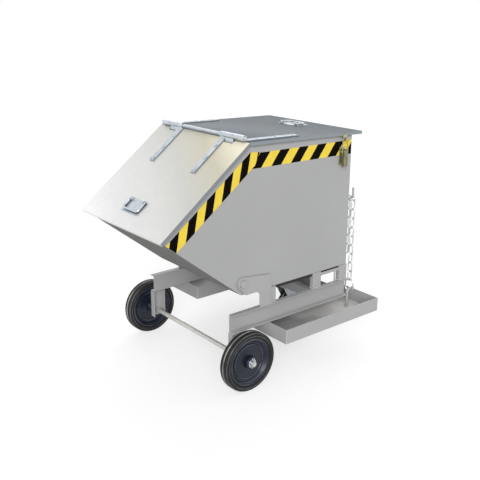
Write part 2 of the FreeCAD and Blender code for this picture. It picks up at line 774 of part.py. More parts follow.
# Caster fork: a flat crown under the race with two legs that trail back to the axle.
fork = new_body("caster_fork")
crown_front = "caster_y - caster_crown_half"
crown_rear = "caster_y + caster_crown_half"
pad(fork, "XY", "crown_bottom_z", "caster_crown_wall", [
    ("-fork_outer_x", crown_front), ("fork_outer_x", crown_front), ("fork_outer_x", crown_rear),
    ("-fork_outer_x", crown_rear)], [("0", "caster_y", "kingpin_diameter / 2 + running_gap")])
for sign in (1, -1):
    leg_x = "fork_inner_x" if sign > 0 else "-fork_outer_x"
    eye_plate(fork, "YZ", leg_x, "caster_fork_wall", [
        (crown_front, "crown_top_z"), (crown_rear, "crown_top_z"),
        ("caster_axle_y + caster_eye_radius", "caster_z"), ("caster_axle_y - caster_eye_radius", "caster_z"),
        (crown_front, "crown_bottom_z - caster_crown_wall")],
        ("caster_axle_y", "caster_z"), "caster_eye_radius", "caster_axle_diameter / 2 + running_gap")
keep(fork)

# Kingpin: a headed pin up through the crown and the plate, with a nut above the plate.
kingpin = new_body("caster_kingpin")
head_bottom_z = "crown_bottom_z - caster_crown_wall"
nut_z = "rail_bottom_z + seat_gap"
pad(kingpin, "XY", head_bottom_z, "caster_crown_wall", hexagon("0", "caster_y", "kingpin_head_flats"))
pad(kingpin, "XY", "crown_bottom_z", f"{nut_z} - crown_bottom_z",
    circles=[("0", "caster_y", "kingpin_diameter / 2")])
pad(kingpin, "XY", nut_z, "caster_crown_wall", hexagon("0", "caster_y", "kingpin_head_flats"))
keep(kingpin)

# Caster axle bolt: a headed bar through both fork legs and the wheel.
axle_bolt = new_body("caster_axle_bolt")
pad(axle_bolt, "YZ", "-fork_outer_x - caster_fork_wall", "caster_fork_wall",
    hexagon("caster_axle_y", "caster_z", "caster_axle_flats"))
pad(axle_bolt, "YZ", "-fork_outer_x", "2 * fork_outer_x",
    circles=[("caster_axle_y", "caster_z", "caster_axle_diameter / 2")])
pad(axle_bolt, "YZ", "fork_outer_x", "caster_fork_wall",
    hexagon("caster_axle_y", "caster_z", "caster_axle_flats"))
keep(axle_bolt)

# Caster wheel: the same build as the front wheels, smaller.
wheel_parts("caster", "0", "caster_axle_y", "caster_z", "caster_diameter / 2", "caster_width",
            "caster_shoulder", "caster_rim_radius", "caster_rim_width", "caster_web", "caster_hub_radius",
            "caster_width + 2 * (caster_fork_gap - seat_gap)", "caster_axle_diameter / 2 + running_gap")

# Tub sides: flat sheets with the tub's whole profile, drilled for the pivot.
for side, sign in SIDES:
    sheet = new_body(f"skip_side_{side}")
    sheet_x = "skip_inner_x" if sign > 0 else "-skip_side_x"
    pad(sheet, "YZ", sheet_x, "skip_sheet", [
        ("floor_front_y", "skip_floor_z"), ("skip_rear_y", "skip_floor_z"), ("skip_rear_y", "rear_top_z"),
        ("ridge_y", "ridge_z"), ("lip_y", "lip_z")],
        circles=[("pivot_y", "pivot_z", "pivot_diameter / 2 + running_gap")])
    keep(sheet)

# Tub wrapper: one sheet bent into the rear wall, the floor and the pouring chute.
wrapper = new_body("skip_wrapper")
chute_corner = ("floor_front_y", "skip_floor_z")
chute_corner_in = ("floor_front_y + skip_sheet * tan(chute_angle / 2)", "skip_floor_z + skip_sheet")
rear_corner = ("skip_rear_y", "skip_floor_z")
rear_corner_in = ("skip_rear_y - skip_sheet", "skip_floor_z + skip_sheet")
pad(wrapper, "YZ", "-skip_inner_x", "2 * skip_inner_x", [
    ("lip_y", "lip_z"), chute_corner, rear_corner, ("skip_rear_y", "rear_top_z"),
    ("skip_rear_y - skip_sheet", "rear_top_z"), rear_corner_in, chute_corner_in,
    ("lip_y + mouth_cut * cos(front_angle)", "lip_z + mouth_cut * sin(front_angle)")])
round_edges(wrapper, "YZ", [rear_corner], "skip_bend")
round_edges(wrapper, "YZ", [rear_corner_in], "skip_bend - skip_sheet")
keep(wrapper)

# Floor runners: two flat bars under the floor, set in from the sides.
floor_runners = []
for side, sign in SIDES:
    runner = new_body(f"floor_runner_{side}")
    outer_x = f"{sign} * (skip_side_x - runner_inset)"
    inner_x = f"{sign} * (skip_side_x - runner_inset - runner_width)"
    pad(runner, "XZ", "runner_front_y", "runner_rear_y - runner_front_y", [
        (outer_x, "skip_floor_z"), (inner_x, "skip_floor_z"), (inner_x, "skip_floor_z - runner_height"),
        (outer_x, "skip_floor_z - runner_height")])
    floor_runners.append(runner)
keep(group("floor_runners", floor_runners))

# Pivot pads: square stiffeners on the inside of the tub's sides.
pivot_pads = []
for side, sign in SIDES:
    stiffener = new_body(f"pivot_pad_{side}")
    pad_x = "skip_inner_x - pivot_pad_wall" if sign > 0 else "-skip_inner_x"
    reach = "pivot_pad_size / 2"
    pad(stiffener, "YZ", pad_x, "pivot_pad_wall", [
        (f"pivot_y - {reach}", f"pivot_z - {reach}"), (f"pivot_y + {reach}", f"pivot_z - {reach}"),
        (f"pivot_y + {reach}", f"pivot_z + {reach}"), (f"pivot_y - {reach}", f"pivot_z + {reach}")],
        [("pivot_y", "pivot_z", "pivot_diameter / 2 + running_gap")])
    pivot_pads.append(stiffener)
keep(group("pivot_pads", pivot_pads))

# Ridge bar: a square tube across the top of the tub that carries the hinge brackets.
ridge_bar = new_body("ridge_bar")
bar_front = "hinge_y - hinge_bracket_half"
bar_rear = "hinge_y - hinge_bracket_half + ridge_bar_size"
bar_top = "hinge_z - ridge_bar_drop"
bar_bottom = "hinge_z - ridge_bar_drop - ridge_bar_size"
pad(ridge_bar, "YZ", "-skip_inner_x", "2 * skip_inner_x", [
    (bar_front, bar_bottom), (bar_rear, bar_bottom), (bar_rear, bar_top), (bar_front, bar_top)])
pocket(ridge_bar, "YZ", "-skip_inner_x", "2 * skip_inner_x", [
    (f"{bar_front} + ridge_bar_wall", f"{bar_bottom} + ridge_bar_wall"),
    (f"{bar_rear} - ridge_bar_wall", f"{bar_bottom} + ridge_bar_wall"),
    (f"{bar_rear} - ridge_bar_wall", f"{bar_top} - ridge_bar_wall"),
    (f"{bar_front} + ridge_bar_wall", f"{bar_top} - ridge_bar_wall")])
keep(ridge_bar)

# Hinge brackets: upright plates on the ridge bar with the hinge rod through their eyes.
rod_hole = "hinge_rod_diameter / 2 + running_gap"
hinge_brackets = []
for side, sign in SIDES:
    bracket = new_body(f"hinge_bracket_{side}")
    half = "hinge_bracket_half"
    eye_plate(bracket, "YZ", f"{sign} * hinge_x - hinge_bracket_wall / 2", "hinge_bracket_wall", [
        (f"hinge_y - {half}", bar_top), (f"hinge_y + {half}", bar_top),
        (f"hinge_y + {half}", "hinge_z"), (f"hinge_y - {half}", "hinge_z")],
        ("hinge_y", "hinge_z"), "hinge_eye_radius", rod_hole)
    hinge_brackets.append(bracket)
keep(group("hinge_brackets", hinge_brackets))

# Hinge rod: one round bar through both brackets, shared by the two lids.
rod_end = "hinge_x + rear_strap_offset + strap_width / 2 + hinge_rod_tail"
keep(cylinder("hinge_rod", "x", "hinge_rod_diameter / 2", f"2 * ({rod_end})", f"-({rod_end})", "hinge_y",
              "hinge_z"))


def lid_sheet(label, way, length, skirt, notch, tilt, mitre=None):
    """A lid modelled flat with the hinge axis at its own origin: a top sheet with skirts on three edges."""
    lid = new_body(label)
    half = "lid_width / 2"
    top = "-hinge_rise"
    under = "-hinge_rise - lid_sheet"
    hem = f"-hinge_rise - {skirt}"
    start = "hinge_edge" if way > 0 else f"-({length})"
    pad(lid, "XZ", start, f"{length} - hinge_edge", [
        (f"-{half}", top), (half, top), (half, hem), (f"{half} - lid_sheet", hem),
        (f"{half} - lid_sheet", under), (f"lid_sheet - {half}", under), (f"lid_sheet - {half}", hem),
        (f"-{half}", hem)])
    end_start = f"{length} - lid_sheet" if way > 0 else f"-({length})"
    pad(lid, "XZ", end_start, "lid_sheet", [
        (f"lid_sheet - {half}", under), (f"{half} - lid_sheet", under), (f"{half} - lid_sheet", hem),
        (f"lid_sheet - {half}", hem)])
    notch_half = "hinge_bracket_wall / 2 + hinge_notch_side"
    for sign in (1, -1):
        left = f"{sign} * hinge_x - ({notch_half})"
        right = f"{sign} * hinge_x + {notch_half}"
        pocket(lid, "XY", under, "lid_sheet", [
            (left, f"{way} * hinge_edge"), (right, f"{way} * hinge_edge"), (right, f"{way} * {notch}"),
            (left, f"{way} * {notch}")])
    if mitre:
        pocket(lid, "YZ", f"-{half}", "lid_width", [
            (f"{way} * hinge_edge", under), (f"{way} * hinge_edge", hem),
            (f"{way} * (hinge_edge + {mitre})", hem)])
    place(lid, "0", "hinge_y", "hinge_z", tilt)
    return lid


def lid_straps(label, way, length, offset, tilt):
    """Dished hinge straps along a lid, each rolled into an eye that fills the hinge rod up to its bracket."""
    straps = []
    for side, sign in SIDES:
        strap = new_body(f"{label}_{side}")
        centre = f"{sign} * (hinge_x + {way} * {offset})"
        left = f"{centre} - strap_width / 2"
        right = f"{centre} + strap_width / 2"
        top = "strap_height - hinge_rise"
        dish = "strap_height - strap_dish - hinge_rise"
        start = "hinge_eye_radius" if way > 0 else f"-{length}"
        pad(strap, "XZ", start, f"{length} - hinge_eye_radius", [
            (left, "-hinge_rise"), (right, "-hinge_rise"), (right, top), (f"{right} - strap_dish", top),
            (f"{right} - 2 * strap_dish", dish), (f"{left} + 2 * strap_dish", dish),
            (f"{left} + strap_dish", top), (left, top)])
        eye_side = f"{sign} * (hinge_x + {way} * (hinge_bracket_wall / 2 + strap_eye_gap))"
        eye_length = f"{offset} + strap_width / 2 - hinge_bracket_wall / 2 - strap_eye_gap"
        eye_start = eye_side if sign * way > 0 else f"{eye_side} - ({eye_length})"
        eye_plate(strap, "YZ", eye_start, eye_length, [
            ("0", "-hinge_rise"), (f"{way} * (hinge_eye_radius + strap_height)", "-hinge_rise"),
            (f"{way} * (hinge_eye_radius + strap_height)", dish), ("0", "hinge_eye_radius")],
            ("0", "0"), "hinge_eye_radius", rod_hole)
        straps.append(strap)
    bundle = group(label, straps)
    place(bundle, "0", "hinge_y", "hinge_z", tilt)
    return bundle


def lid_strap_bolts(label, way, length, offset, tilt):
    """Hexagon bolt heads along the dished middle of each strap."""
    heads = []
    for side, sign in SIDES:
        for step in (1, 2, 3):
            head = new_body(f"{label}_{side}_{step}")
            along = f"{way} * ({length} * {step} / 3 - strap_bolt_flats)"
            pad(head, "XY", "strap_height - strap_dish - hinge_rise", "strap_bolt_height",
                hexagon(f"{sign} * (hinge_x + {way} * {offset})", along, "strap_bolt_flats"))
            heads.append(head)
    bundle = group(label, heads)
    place(bundle, "0", "hinge_y", "hinge_z", tilt)
    return bundle


def handle_plate(label, way, reach, tilt):
    """A pressed plate on a lid with two lugs that hold the folding handle."""
    plate = new_body(label)
    half = "handle_plate_width / 2"
    near = f"{way} * ({reach} - handle_lug_radius)"
    far = f"{way} * ({reach} - handle_lug_radius + handle_plate_depth)"
    pad(plate, "XY", "-hinge_rise", "handle_plate_wall", [
        (f"-{half}", near), (half, near), (half, far), (f"-{half}", far)])
    lug_outer = "handle_span / 2 - handle_rod_diameter / 2 - seat_gap"
    for sign in (1, -1):
        lug_x = f"{lug_outer} - handle_lug_width" if sign > 0 else f"-({lug_outer})"
        centre = f"{way} * {reach}"
        foot = "handle_plate_wall - hinge_rise"
        eye_plate(plate, "YZ", lug_x, "handle_lug_width", [
            (f"{centre} - handle_lug_radius", foot), (f"{centre} + handle_lug_radius", foot),
            (f"{centre} + handle_lug_radius", "handle_axis_z"),
            (f"{centre} - handle_lug_radius", "handle_axis_z")],
            (centre, "handle_axis_z"), "handle_lug_radius", "handle_rod_diameter / 2 + running_gap")
    place(plate, "0", "hinge_y", "hinge_z", tilt)
    return plate


def handle_bail(label, way, reach, tilt):
    """A round rod bent to a U whose turned-in ends run in the plate's lugs."""
    rod_radius = number("handle_rod_diameter / 2")
    near = number(f"{way} * {reach}")
    far = number(f"{way} * ({reach} + handle_drop)")
    out = number("handle_span / 2")
    end = number("handle_span / 2 - handle_rod_diameter / 2 - handle_lug_width")
    corners = ((-end, near), (-out, near), (-out, far), (out, far), (out, near), (end, near))
    spots = [FreeCAD.Vector(x, y, number("handle_axis_z")) for x, y in corners]
    end_bend = number("handle_rod_diameter / 2 + seat_gap")
    bend = number("handle_bend")
    bail = solid(label, rod_along(bent_path(spots, (end_bend, bend, bend, end_bend)), rod_radius, ROD_FACETS))
    place(bail, "0", "hinge_y", "hinge_z", tilt)
    return bail


# Front lid: hangs down the slope of the tub's mouth, with its straps, bolts and folding handle.
front_tilt = "front_angle"
keep(lid_sheet("front_lid", -1, "front_lid_length", "front_skirt", "front_notch", front_tilt, "front_mitre"),
     lid_straps("front_lid_straps", -1, "front_strap_length", "front_strap_offset", front_tilt),
     lid_strap_bolts("front_strap_bolts", -1, "front_strap_length", "front_strap_offset", front_tilt),
     handle_plate("front_handle_plate", -1, "front_handle_reach", front_tilt),
     handle_bail("front_handle", -1, "front_handle_reach", front_tilt))

# Rear lid: nearly level, with its straps, bolts and folding handle.
rear_tilt = "-rear_angle"
keep(lid_sheet("rear_lid", 1, "rear_reach", "rear_skirt", "rear_notch", rear_tilt),
     lid_straps("rear_lid_straps", 1, "rear_strap_length", "rear_strap_offset", rear_tilt),
     lid_strap_bolts("rear_strap_bolts", 1, "rear_strap_length", "rear_strap_offset", rear_tilt),
     handle_plate("rear_handle_plate", 1, "rear_handle_reach", rear_tilt),
     handle_bail("rear_handle", 1, "rear_handle_reach", rear_tilt))

# Latch base: a plate on the left tub side with two ears for the lever's pin.
latch_base = new_body("latch_base")
base_half = "latch_base_width / 2"
base_face_x = "skip_side_x + latch_base_wall"
pad(latch_base, "YZ", "skip_side_x", "latch_base_wall", [
    (f"latch_y - {base_half}", "latch_base_bottom_z"), (f"latch_y + {base_half}", "latch_base_bottom_z"),
    (f"latch_y + {base_half}", "latch_base_top_z"), (f"latch_y - {base_half}", "latch_base_top_z")])
ear_inner = "latch_lever_width / 2 + latch_ear_gap"
ear_radius = "latch_ear_radius"
for sign in (1, -1):
    ear_y = f"latch_y + {ear_inner}" if sign > 0 else f"latch_y - ({ear_inner}) - latch_ear_wall"
    eye_plate(latch_base, "XZ", ear_y, "latch_ear_wall", [
        (base_face_x, f"latch_pivot_z - {ear_radius}"), ("latch_pivot_x", f"latch_pivot_z - {ear_radius}"),
        ("latch_pivot_x", f"latch_pivot_z + {ear_radius}"), (base_face_x, f"latch_pivot_z + {ear_radius}")],
        ("latch_pivot_x", "latch_pivot_z"), ear_radius, "latch_pin_diameter / 2 + running_gap")
keep(latch_base)

# Latch pin: a plain pin through the base's ears.
pin_half = f"{ear_inner} + latch_ear_wall"
keep(cylinder("latch_pin", "y", "latch_pin_diameter / 2", f"2 * ({pin_half})", "latch_pivot_x",
              f"latch_y - ({pin_half})", "latch_pivot_z"))

# Latch lever: a pressed channel that hangs from the pin and carries the draw loop below it.
lever = new_body("latch_lever")
lever_half = "latch_lever_width / 2"
lever_back_x = "latch_pivot_x - latch_lever_depth / 2"
lever_face_x = "latch_pivot_x + latch_lever_depth / 2"
lever_top_z = "latch_pivot_z + latch_ear_radius"
lever_bottom_z = "latch_pivot_z - latch_lever_length"
pad(lever, "XY", lever_bottom_z, f"{lever_top_z} - ({lever_bottom_z})", [
    (lever_back_x, f"latch_y - {lever_half}"), (lever_face_x, f"latch_y - {lever_half}"),
    (lever_face_x, f"latch_y + {lever_half}"), (lever_back_x, f"latch_y + {lever_half}"),
    (lever_back_x, f"latch_y + {lever_half} - latch_lever_wall"),
    (f"{lever_face_x} - latch_lever_wall", f"latch_y + {lever_half} - latch_lever_wall"),
    (f"{lever_face_x} - latch_lever_wall", f"latch_y - {lever_half} + latch_lever_wall"),
    (lever_back_x, f"latch_y - {lever_half} + latch_lever_wall")])
pocket(lever, "XZ", f"latch_y - {lever_half}", "latch_lever_width", circles=[
    ("latch_pivot_x", "latch_pivot_z", "latch_pin_diameter / 2 + running_gap"),
    ("latch_pivot_x", "latch_loop_bottom_z", "latch_wire_diameter / 2 + running_gap")])
keep(lever)


# Latch loop: a closed wire loop from the lever up over the keeper on the lid.
loop_half = number("latch_loop_width / 2")
loop_x = number("latch_pivot_x")
loop_start = FreeCAD.Vector(loop_x, number("latch_y"), number("latch_loop_bottom_z"))
loop_corners = [FreeCAD.Vector(loop_x, number("latch_y") + across, number(height))
                for across, height in ((loop_half, "latch_loop_bottom_z"), (loop_half, "latch_loop_top_z"),
                                       (-loop_half, "latch_loop_top_z"), (-loop_half, "latch_loop_bottom_z"))]
loop_bends = [number("latch_loop_bend")] * len(loop_corners)
loop_path = bent_path([loop_start, *loop_corners, loop_start], loop_bends)
loop_wire = rod_along(loop_path[:-1], number("latch_wire_diameter / 2"), ROD_FACETS, closed=True)
keep(solid("latch_loop", loop_wire))

# Latch keeper: a bent tab on the rear lid's skirt with an upturned lip.
keeper = new_body("latch_keeper")
keeper_x = "lid_width / 2"
keeper_out = "lid_width / 2 + keeper_reach"
keeper_face_x = f"{keeper_x} + keeper_wall"
keeper_lip_x = f"{keeper_out} - keeper_wall"
pad(keeper, "XZ", "latch_y - keeper_width / 2", "keeper_width", [
    (keeper_x, "keeper_z"), (keeper_out, "keeper_z"), (keeper_out, "keeper_z + keeper_lip"),
    (keeper_lip_x, "keeper_z + keeper_lip"), (keeper_lip_x, "keeper_z + keeper_wall"),
    (keeper_face_x, "keeper_z + keeper_wall"), (keeper_face_x, "keeper_z + keeper_height"),
    (keeper_x, "keeper_z + keeper_height")])
keep(keeper)

# Chain hook: a round bar out of the rear wall with its end turned up.
hook_path = bent_path([
    point("hook_x", "skip_rear_y", "hook_z"), point("hook_x", "skip_rear_y + hook_reach", "hook_z"),
    point("hook_x", "skip_rear_y + hook_reach", "hook_z + hook_tip")], [number("hook_bend")])
keep(solid("chain_hook", rod_along(hook_path, number("hook_rod_diameter / 2"), ROD_FACETS)))


def chain_link(inner_length, inner_width, wire):
    """One long link that hangs from the origin: a faceted wire round a slot with half-round ends."""
    bend = (inner_width + wire) / 2
    ends = ((-bend, 90), (-bend - inner_length + inner_width, -90))
    path = []
    for height, middle_turn in ends:
        for step in range(-BEND_STEPS, BEND_STEPS + 1, 2):
            turn = math.radians(middle_turn - 90 * step / BEND_STEPS)
            path.append(FreeCAD.Vector(bend * math.cos(turn), 0, height + bend * math.sin(turn)))
    return rod_along(path, wire / 2, LINK_FACETS, closed=True)


def turned(shape, place_at, about_z, about_y=0):
    """A copy of a shape, turned about its own origin and set down at a point."""
    copy = shape.copy()
    round_z = FreeCAD.Rotation(FreeCAD.Vector(0, 0, 1), about_z)
    round_y = FreeCAD.Rotation(FreeCAD.Vector(0, 1, 0), about_y)
    copy.Placement = FreeCAD.Placement(place_at, round_z * round_y)
    return copy


# Hook link: one chain link laid over the hook with its long axis across the wall.
link = chain_link(number("chain_inner_length"), number("chain_inner_width"), number("chain_wire"))
hook_link_end = point("hook_x - (chain_inner_length + chain_wire) / 2", "chain_y",
                      "hook_link_z - (chain_inner_width + chain_wire) / 2")
keep(solid("chain_hook_link", turned(link, hook_link_end, 0, -90)))

# Safety chain: a long strand hangs from one end of the hook link and a short tail from the other.
links = []
for offset, count in ((1, "chain_main_links"), (-1, "chain_tail_links")):
    for index in range(round(number(count))):
        spot = point(f"hook_x + {offset} * chain_strand_offset", "chain_y",
                     f"strand_top_z - {index} * chain_pitch")
        links.append(turned(link, spot, 90 if index % 2 == 0 else 0))
keep(solid("safety_chain", Part.makeCompound(links)))

# Chain ring: the larger end link, hung on the lug's peg.
ring_length = number("ring_drop + lug_rod_diameter / 2 + ring_slack - ring_wire / 2")
ring_link = chain_link(ring_length, number("ring_inner_width"), number("ring_wire"))
keep(solid("chain_ring", turned(ring_link, point("chain_x", "chain_y", "ring_top_z"), 0)))

# Chain lug: a round bar up from the left tray's floor with its end turned back as a peg.
lug_path = bent_path([
    point("chain_x", "lug_y", "tray_bottom_z + tray_wall"), point("chain_x", "lug_y", "lug_z"),
    point("chain_x", "lug_y + lug_peg_length", "lug_z")], [number("lug_bend")])
keep(solid("chain_lug", rod_along(lug_path, number("lug_rod_diameter / 2"), ROD_FACETS)))

doc.recompute()
failed = [item.Label for item in doc.Objects if {"Invalid", "Error"} & set(item.State)]
if failed:
    raise RuntimeError(f"these objects failed to build: {failed}")
for node in nodes:
    if node.Shape.isNull() or not node.Shape.isValid() or not node.Shape.Solids:
        raise RuntimeError(f"{node.Label} has no valid solid")

os.makedirs("parts", exist_ok=True)
for node in nodes:
    node.Shape.exportStep(f"parts/{node.Label}.step")
print(f"{len(nodes)} nodes written")
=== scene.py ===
import json
import math

import bpy
from mathutils import Matrix, Vector

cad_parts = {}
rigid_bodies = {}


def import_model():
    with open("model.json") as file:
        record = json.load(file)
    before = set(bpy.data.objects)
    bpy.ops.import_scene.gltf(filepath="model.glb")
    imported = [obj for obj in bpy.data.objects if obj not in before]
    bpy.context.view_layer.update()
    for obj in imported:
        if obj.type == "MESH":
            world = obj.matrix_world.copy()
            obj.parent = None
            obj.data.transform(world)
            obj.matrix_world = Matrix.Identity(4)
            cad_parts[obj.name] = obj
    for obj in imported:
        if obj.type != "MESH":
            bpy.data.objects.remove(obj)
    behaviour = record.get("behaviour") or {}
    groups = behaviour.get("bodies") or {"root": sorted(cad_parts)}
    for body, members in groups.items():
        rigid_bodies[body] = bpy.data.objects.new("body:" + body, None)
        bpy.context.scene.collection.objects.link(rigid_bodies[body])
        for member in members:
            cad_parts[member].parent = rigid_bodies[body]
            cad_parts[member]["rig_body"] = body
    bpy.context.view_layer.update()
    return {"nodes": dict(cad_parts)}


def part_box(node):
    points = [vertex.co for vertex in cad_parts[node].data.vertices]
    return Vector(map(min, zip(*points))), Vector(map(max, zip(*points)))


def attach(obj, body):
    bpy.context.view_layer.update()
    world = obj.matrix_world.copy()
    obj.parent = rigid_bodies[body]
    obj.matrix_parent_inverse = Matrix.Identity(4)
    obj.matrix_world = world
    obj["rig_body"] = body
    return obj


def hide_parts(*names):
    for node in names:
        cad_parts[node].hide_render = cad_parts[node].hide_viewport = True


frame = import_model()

# Side rails: two channels folded from steel sheet, open to the outside, that carry everything else.
# They are pressed to shape, welded to the rest of the frame and sprayed light grey with it.
SIDES = {"left": 1, "right": -1}


def clear_selection():
    """Leave nothing selected, so that the next operator acts on the new piece alone."""
    if bpy.context.object and bpy.context.object.mode != "OBJECT":
        bpy.ops.object.mode_set(mode="OBJECT")
    bpy.ops.object.select_all(action="DESELECT")


def take_up(piece):
    """Make one piece the selected and active one."""
    clear_selection()
    piece.select_set(True)
    bpy.context.view_layer.objects.active = piece


def copied(mesh, name):
    """A new piece with its own copy of a mesh."""
    piece = bpy.data.objects.new(name, mesh.copy())
    bpy.context.scene.collection.objects.link(piece)
    return piece


def settle():
    """Put the selected pieces' place, turn and scale into their meshes."""
    bpy.ops.object.transform_apply(location=True, rotation=True, scale=True)


def apply_modifier(piece, kind, **settings):
    """Give a piece one modifier with its settings, and apply it."""
    take_up(piece)
    modifier = piece.modifiers.new(kind, kind)
    for name, value in settings.items():
        setattr(modifier, name, value)
    bpy.ops.object.modifier_apply(modifier=modifier.name)


def apply_bevel(piece, width, segments):
    """Round a piece's sharp edges and keep its flat faces flat."""
    take_up(piece)
    bpy.ops.object.shade_smooth()
    apply_modifier(piece, "BEVEL", width=width, segments=segments, limit_method="ANGLE",
                   angle_limit=math.radians(30), miter_outer="MITER_ARC")
    apply_modifier(piece, "WEIGHTED_NORMAL", weight=100)


def fit_out(piece, name, body, finish, slot, *nodes):
    """Name a finished piece, give it its finish and its body, and hide the CAD pieces that it stands for."""
    take_up(piece)
    settle()
    piece.name = name
    piece.data.name = name
    piece.data.materials.clear()
    piece.data.materials.append(finish)
    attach(piece, body)
    if nodes:
        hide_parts(*nodes)
    return piece


def soft_edged(node, finish, slot, edge, segments=2):
    """A worked copy of a fabricated piece: its facets joined up and its edges broken as a file does."""
    piece = copied(frame["nodes"][node].data, node)
    take_up(piece)
    bpy.ops.object.mode_set(mode="EDIT")
    bpy.ops.mesh.select_all(action="SELECT")
    bpy.ops.mesh.remove_doubles(threshold=0.00001)
    bpy.ops.mesh.dissolve_limited(angle_limit=math.radians(0.5))
    bpy.ops.object.mode_set(mode="OBJECT")
    apply_bevel(piece, edge, segments)
    body = frame["nodes"][node]["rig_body"]
    return fit_out(piece, f"{node}_finished", body, finish, slot, node)


def lay(tree, kind, inputs=None, **settings):
    """Place one shader node with its settings, and set or link its sockets."""
    made = tree.nodes.new(kind)
    for name, value in settings.items():
        setattr(made, name, value)
    for socket, value in (inputs or {}).items():
        if isinstance(value, bpy.types.NodeSocket):
            tree.links.new(value, made.inputs[socket])
        else:
            made.inputs[socket].default_value = value
    return made


def new_effect(name, inputs, outputs):
    """An empty effect that several finishes share, with named float inputs and outputs."""
    tree = bpy.data.node_groups.new(name, "ShaderNodeTree")
    for label, value in inputs.items():
        socket = tree.interface.new_socket(label, in_out="INPUT", socket_type="NodeSocketFloat")
        socket.default_value = value
    for label in outputs:
        tree.interface.new_socket(label, in_out="OUTPUT", socket_type="NodeSocketFloat")
    given = tree.nodes.new("NodeGroupInput")
    result = tree.nodes.new("NodeGroupOutput")
    return tree, given.outputs, result.inputs


def put_out(effect, result, **values):
    """Send an effect's values to its named outputs."""
    for label, value in values.items():
        effect.links.new(value, result[label])


def use_effect(tree, effect, **values):
    """Place a shared effect in a finish with the finish's own values."""
    placed = lay(tree, "ShaderNodeGroup", node_tree=effect)
    for label, value in values.items():
        placed.inputs[label.replace("_", " ")].default_value = value
    return placed.outputs


def maths(tree, operation, *values):
    """One step of arithmetic on values or sockets."""
    return lay(tree, "ShaderNodeMath", dict(enumerate(values)), operation=operation).outputs[0]


def times(tree, first, second):
    """One value or mask scaled by another."""
    return maths(tree, "MULTIPLY", first, second)


def spread(tree, value, span, result=(0.0, 1.0)):
    """Map a value from one range to another, held at the ends."""
    return lay(tree, "ShaderNodeMapRange", dict(enumerate((value, *span, *result)))).outputs[0]


def noise(tree, place, scale, detail):
    """A cloudy pattern on the piece's own coordinates."""
    return lay(tree, "ShaderNodeTexNoise", {"Vector": place, "Scale": scale, "Detail": detail}).outputs[0]


def vary(tree, pattern, result=(0.0, 1.0)):
    """Turn the middle of a cloudy pattern's range into a value between two limits."""
    return spread(tree, pattern, (0.3, 0.7), result)


def blend_colour(tree, amount, first, second):
    """Mix two colours by a mask."""
    return lay(tree, "ShaderNodeMix", {0: amount, 6: first, 7: second}, data_type="RGBA").outputs[2]


def toned(tree, colour, tone):
    """A colour made lighter or darker by a value near one."""
    grey = lay(tree, "ShaderNodeCombineColor", {0: tone, 1: tone, 2: tone}).outputs[0]
    scaled = lay(tree, "ShaderNodeMix", {0: 1.0, 6: colour, 7: grey}, data_type="RGBA", blend_type="MULTIPLY")
    return scaled.outputs[2]


def new_finish(name):
    """A material with its shader ready for colour, roughness and bump."""
    finish = bpy.data.materials.new(name)
    finish.use_nodes = True
    return finish, finish.node_tree, finish.node_tree.nodes["Principled BSDF"]


def bump(tree, shader, height, distance):
    """Fine relief from a pattern, as deep as the distance given."""
    relief = lay(tree, "ShaderNodeBump", {"Height": height, "Distance": distance, "Strength": 1.0})
    tree.links.new(relief.outputs[0], shader.inputs["Normal"])


# The film of a sprayed coat: slow change of tone, fine mottling, orange peel, settled dust and
# a mask of the downward faces, which the coat paints darker as painted shade and makes duller.
FILM_TONES, FILM_ROUGHNESS = (0.955, 1.03), (0.40, 0.52)
paint_film, film_in, film_out = new_effect(
    "paint_film", {"Cloud Scale": 2.5, "Peel Scale": 420.0},
    ("Tone", "Roughness", "Peel", "Dust", "Underside"))
place = lay(paint_film, "ShaderNodeTexCoord").outputs
clouds = noise(paint_film, place["Object"], scale=film_in["Cloud Scale"], detail=4.0)
mottle = noise(paint_film, place["Object"], scale=90.0, detail=3.0)
slow_tone = vary(paint_film, clouds, FILM_TONES)
fine_tone = vary(paint_film, mottle, (0.985, 1.015))
upward = lay(paint_film, "ShaderNodeSeparateXYZ", {0: place["Normal"]}).outputs["Z"]
settled = spread(paint_film, upward, (0.6, 1.0))
drifts = spread(paint_film, clouds, (0.42, 0.66))
put_out(paint_film, film_out, Tone=times(paint_film, slow_tone, fine_tone),
        Roughness=vary(paint_film, mottle, FILM_ROUGHNESS),
        Peel=noise(paint_film, place["Object"], scale=film_in["Peel Scale"], detail=1.0),
        Dust=times(paint_film, settled, drifts),
        Underside=spread(paint_film, upward, (-0.45, -0.75)))

# Rubbed edges: where the surface turns sharply the coat is thinner, broken up by scratches.
rubbed_edges, rub_in, rub_out = new_effect("rubbed_edges", {"Reach": 0.002, "Amount": 1.0}, ("Mask",))
rounded = lay(rubbed_edges, "ShaderNodeBevel", {"Radius": rub_in["Reach"]}, samples=4)
straight = lay(rubbed_edges, "ShaderNodeNewGeometry")
lean = lay(rubbed_edges, "ShaderNodeVectorMath", {0: rounded.outputs[0], 1: straight.outputs["Normal"]},
           operation="DOT_PRODUCT")
turn = spread(rubbed_edges, lean.outputs["Value"], (0.985, 0.86))
place = lay(rubbed_edges, "ShaderNodeTexCoord").outputs["Object"]
scratches = spread(rubbed_edges, noise(rubbed_edges, place, scale=160.0, detail=5.0), (0.44, 0.62))
scratched = times(rubbed_edges, turn, scratches)
put_out(rubbed_edges, rub_out, Mask=times(rubbed_edges, scratched, rub_in["Amount"]))

# Corner shade and grime: an occlusion mask lays a dark film into inner corners. It is painted shade
# where parts meet and shade falls, as well as grime.
corner_shade_grime, corner_shade_in, corner_shade_out = new_effect("corner_shade_grime", {"Reach": 0.015, "Amount": 1.0}, ("Mask",))
shelter = lay(corner_shade_grime, "ShaderNodeAmbientOcclusion", {"Distance": corner_shade_in["Reach"]}, samples=6)
depth = spread(corner_shade_grime, shelter.outputs["AO"], (0.92, 0.45))
put_out(corner_shade_grime, corner_shade_out, Mask=times(corner_shade_grime, depth, corner_shade_in["Amount"]))
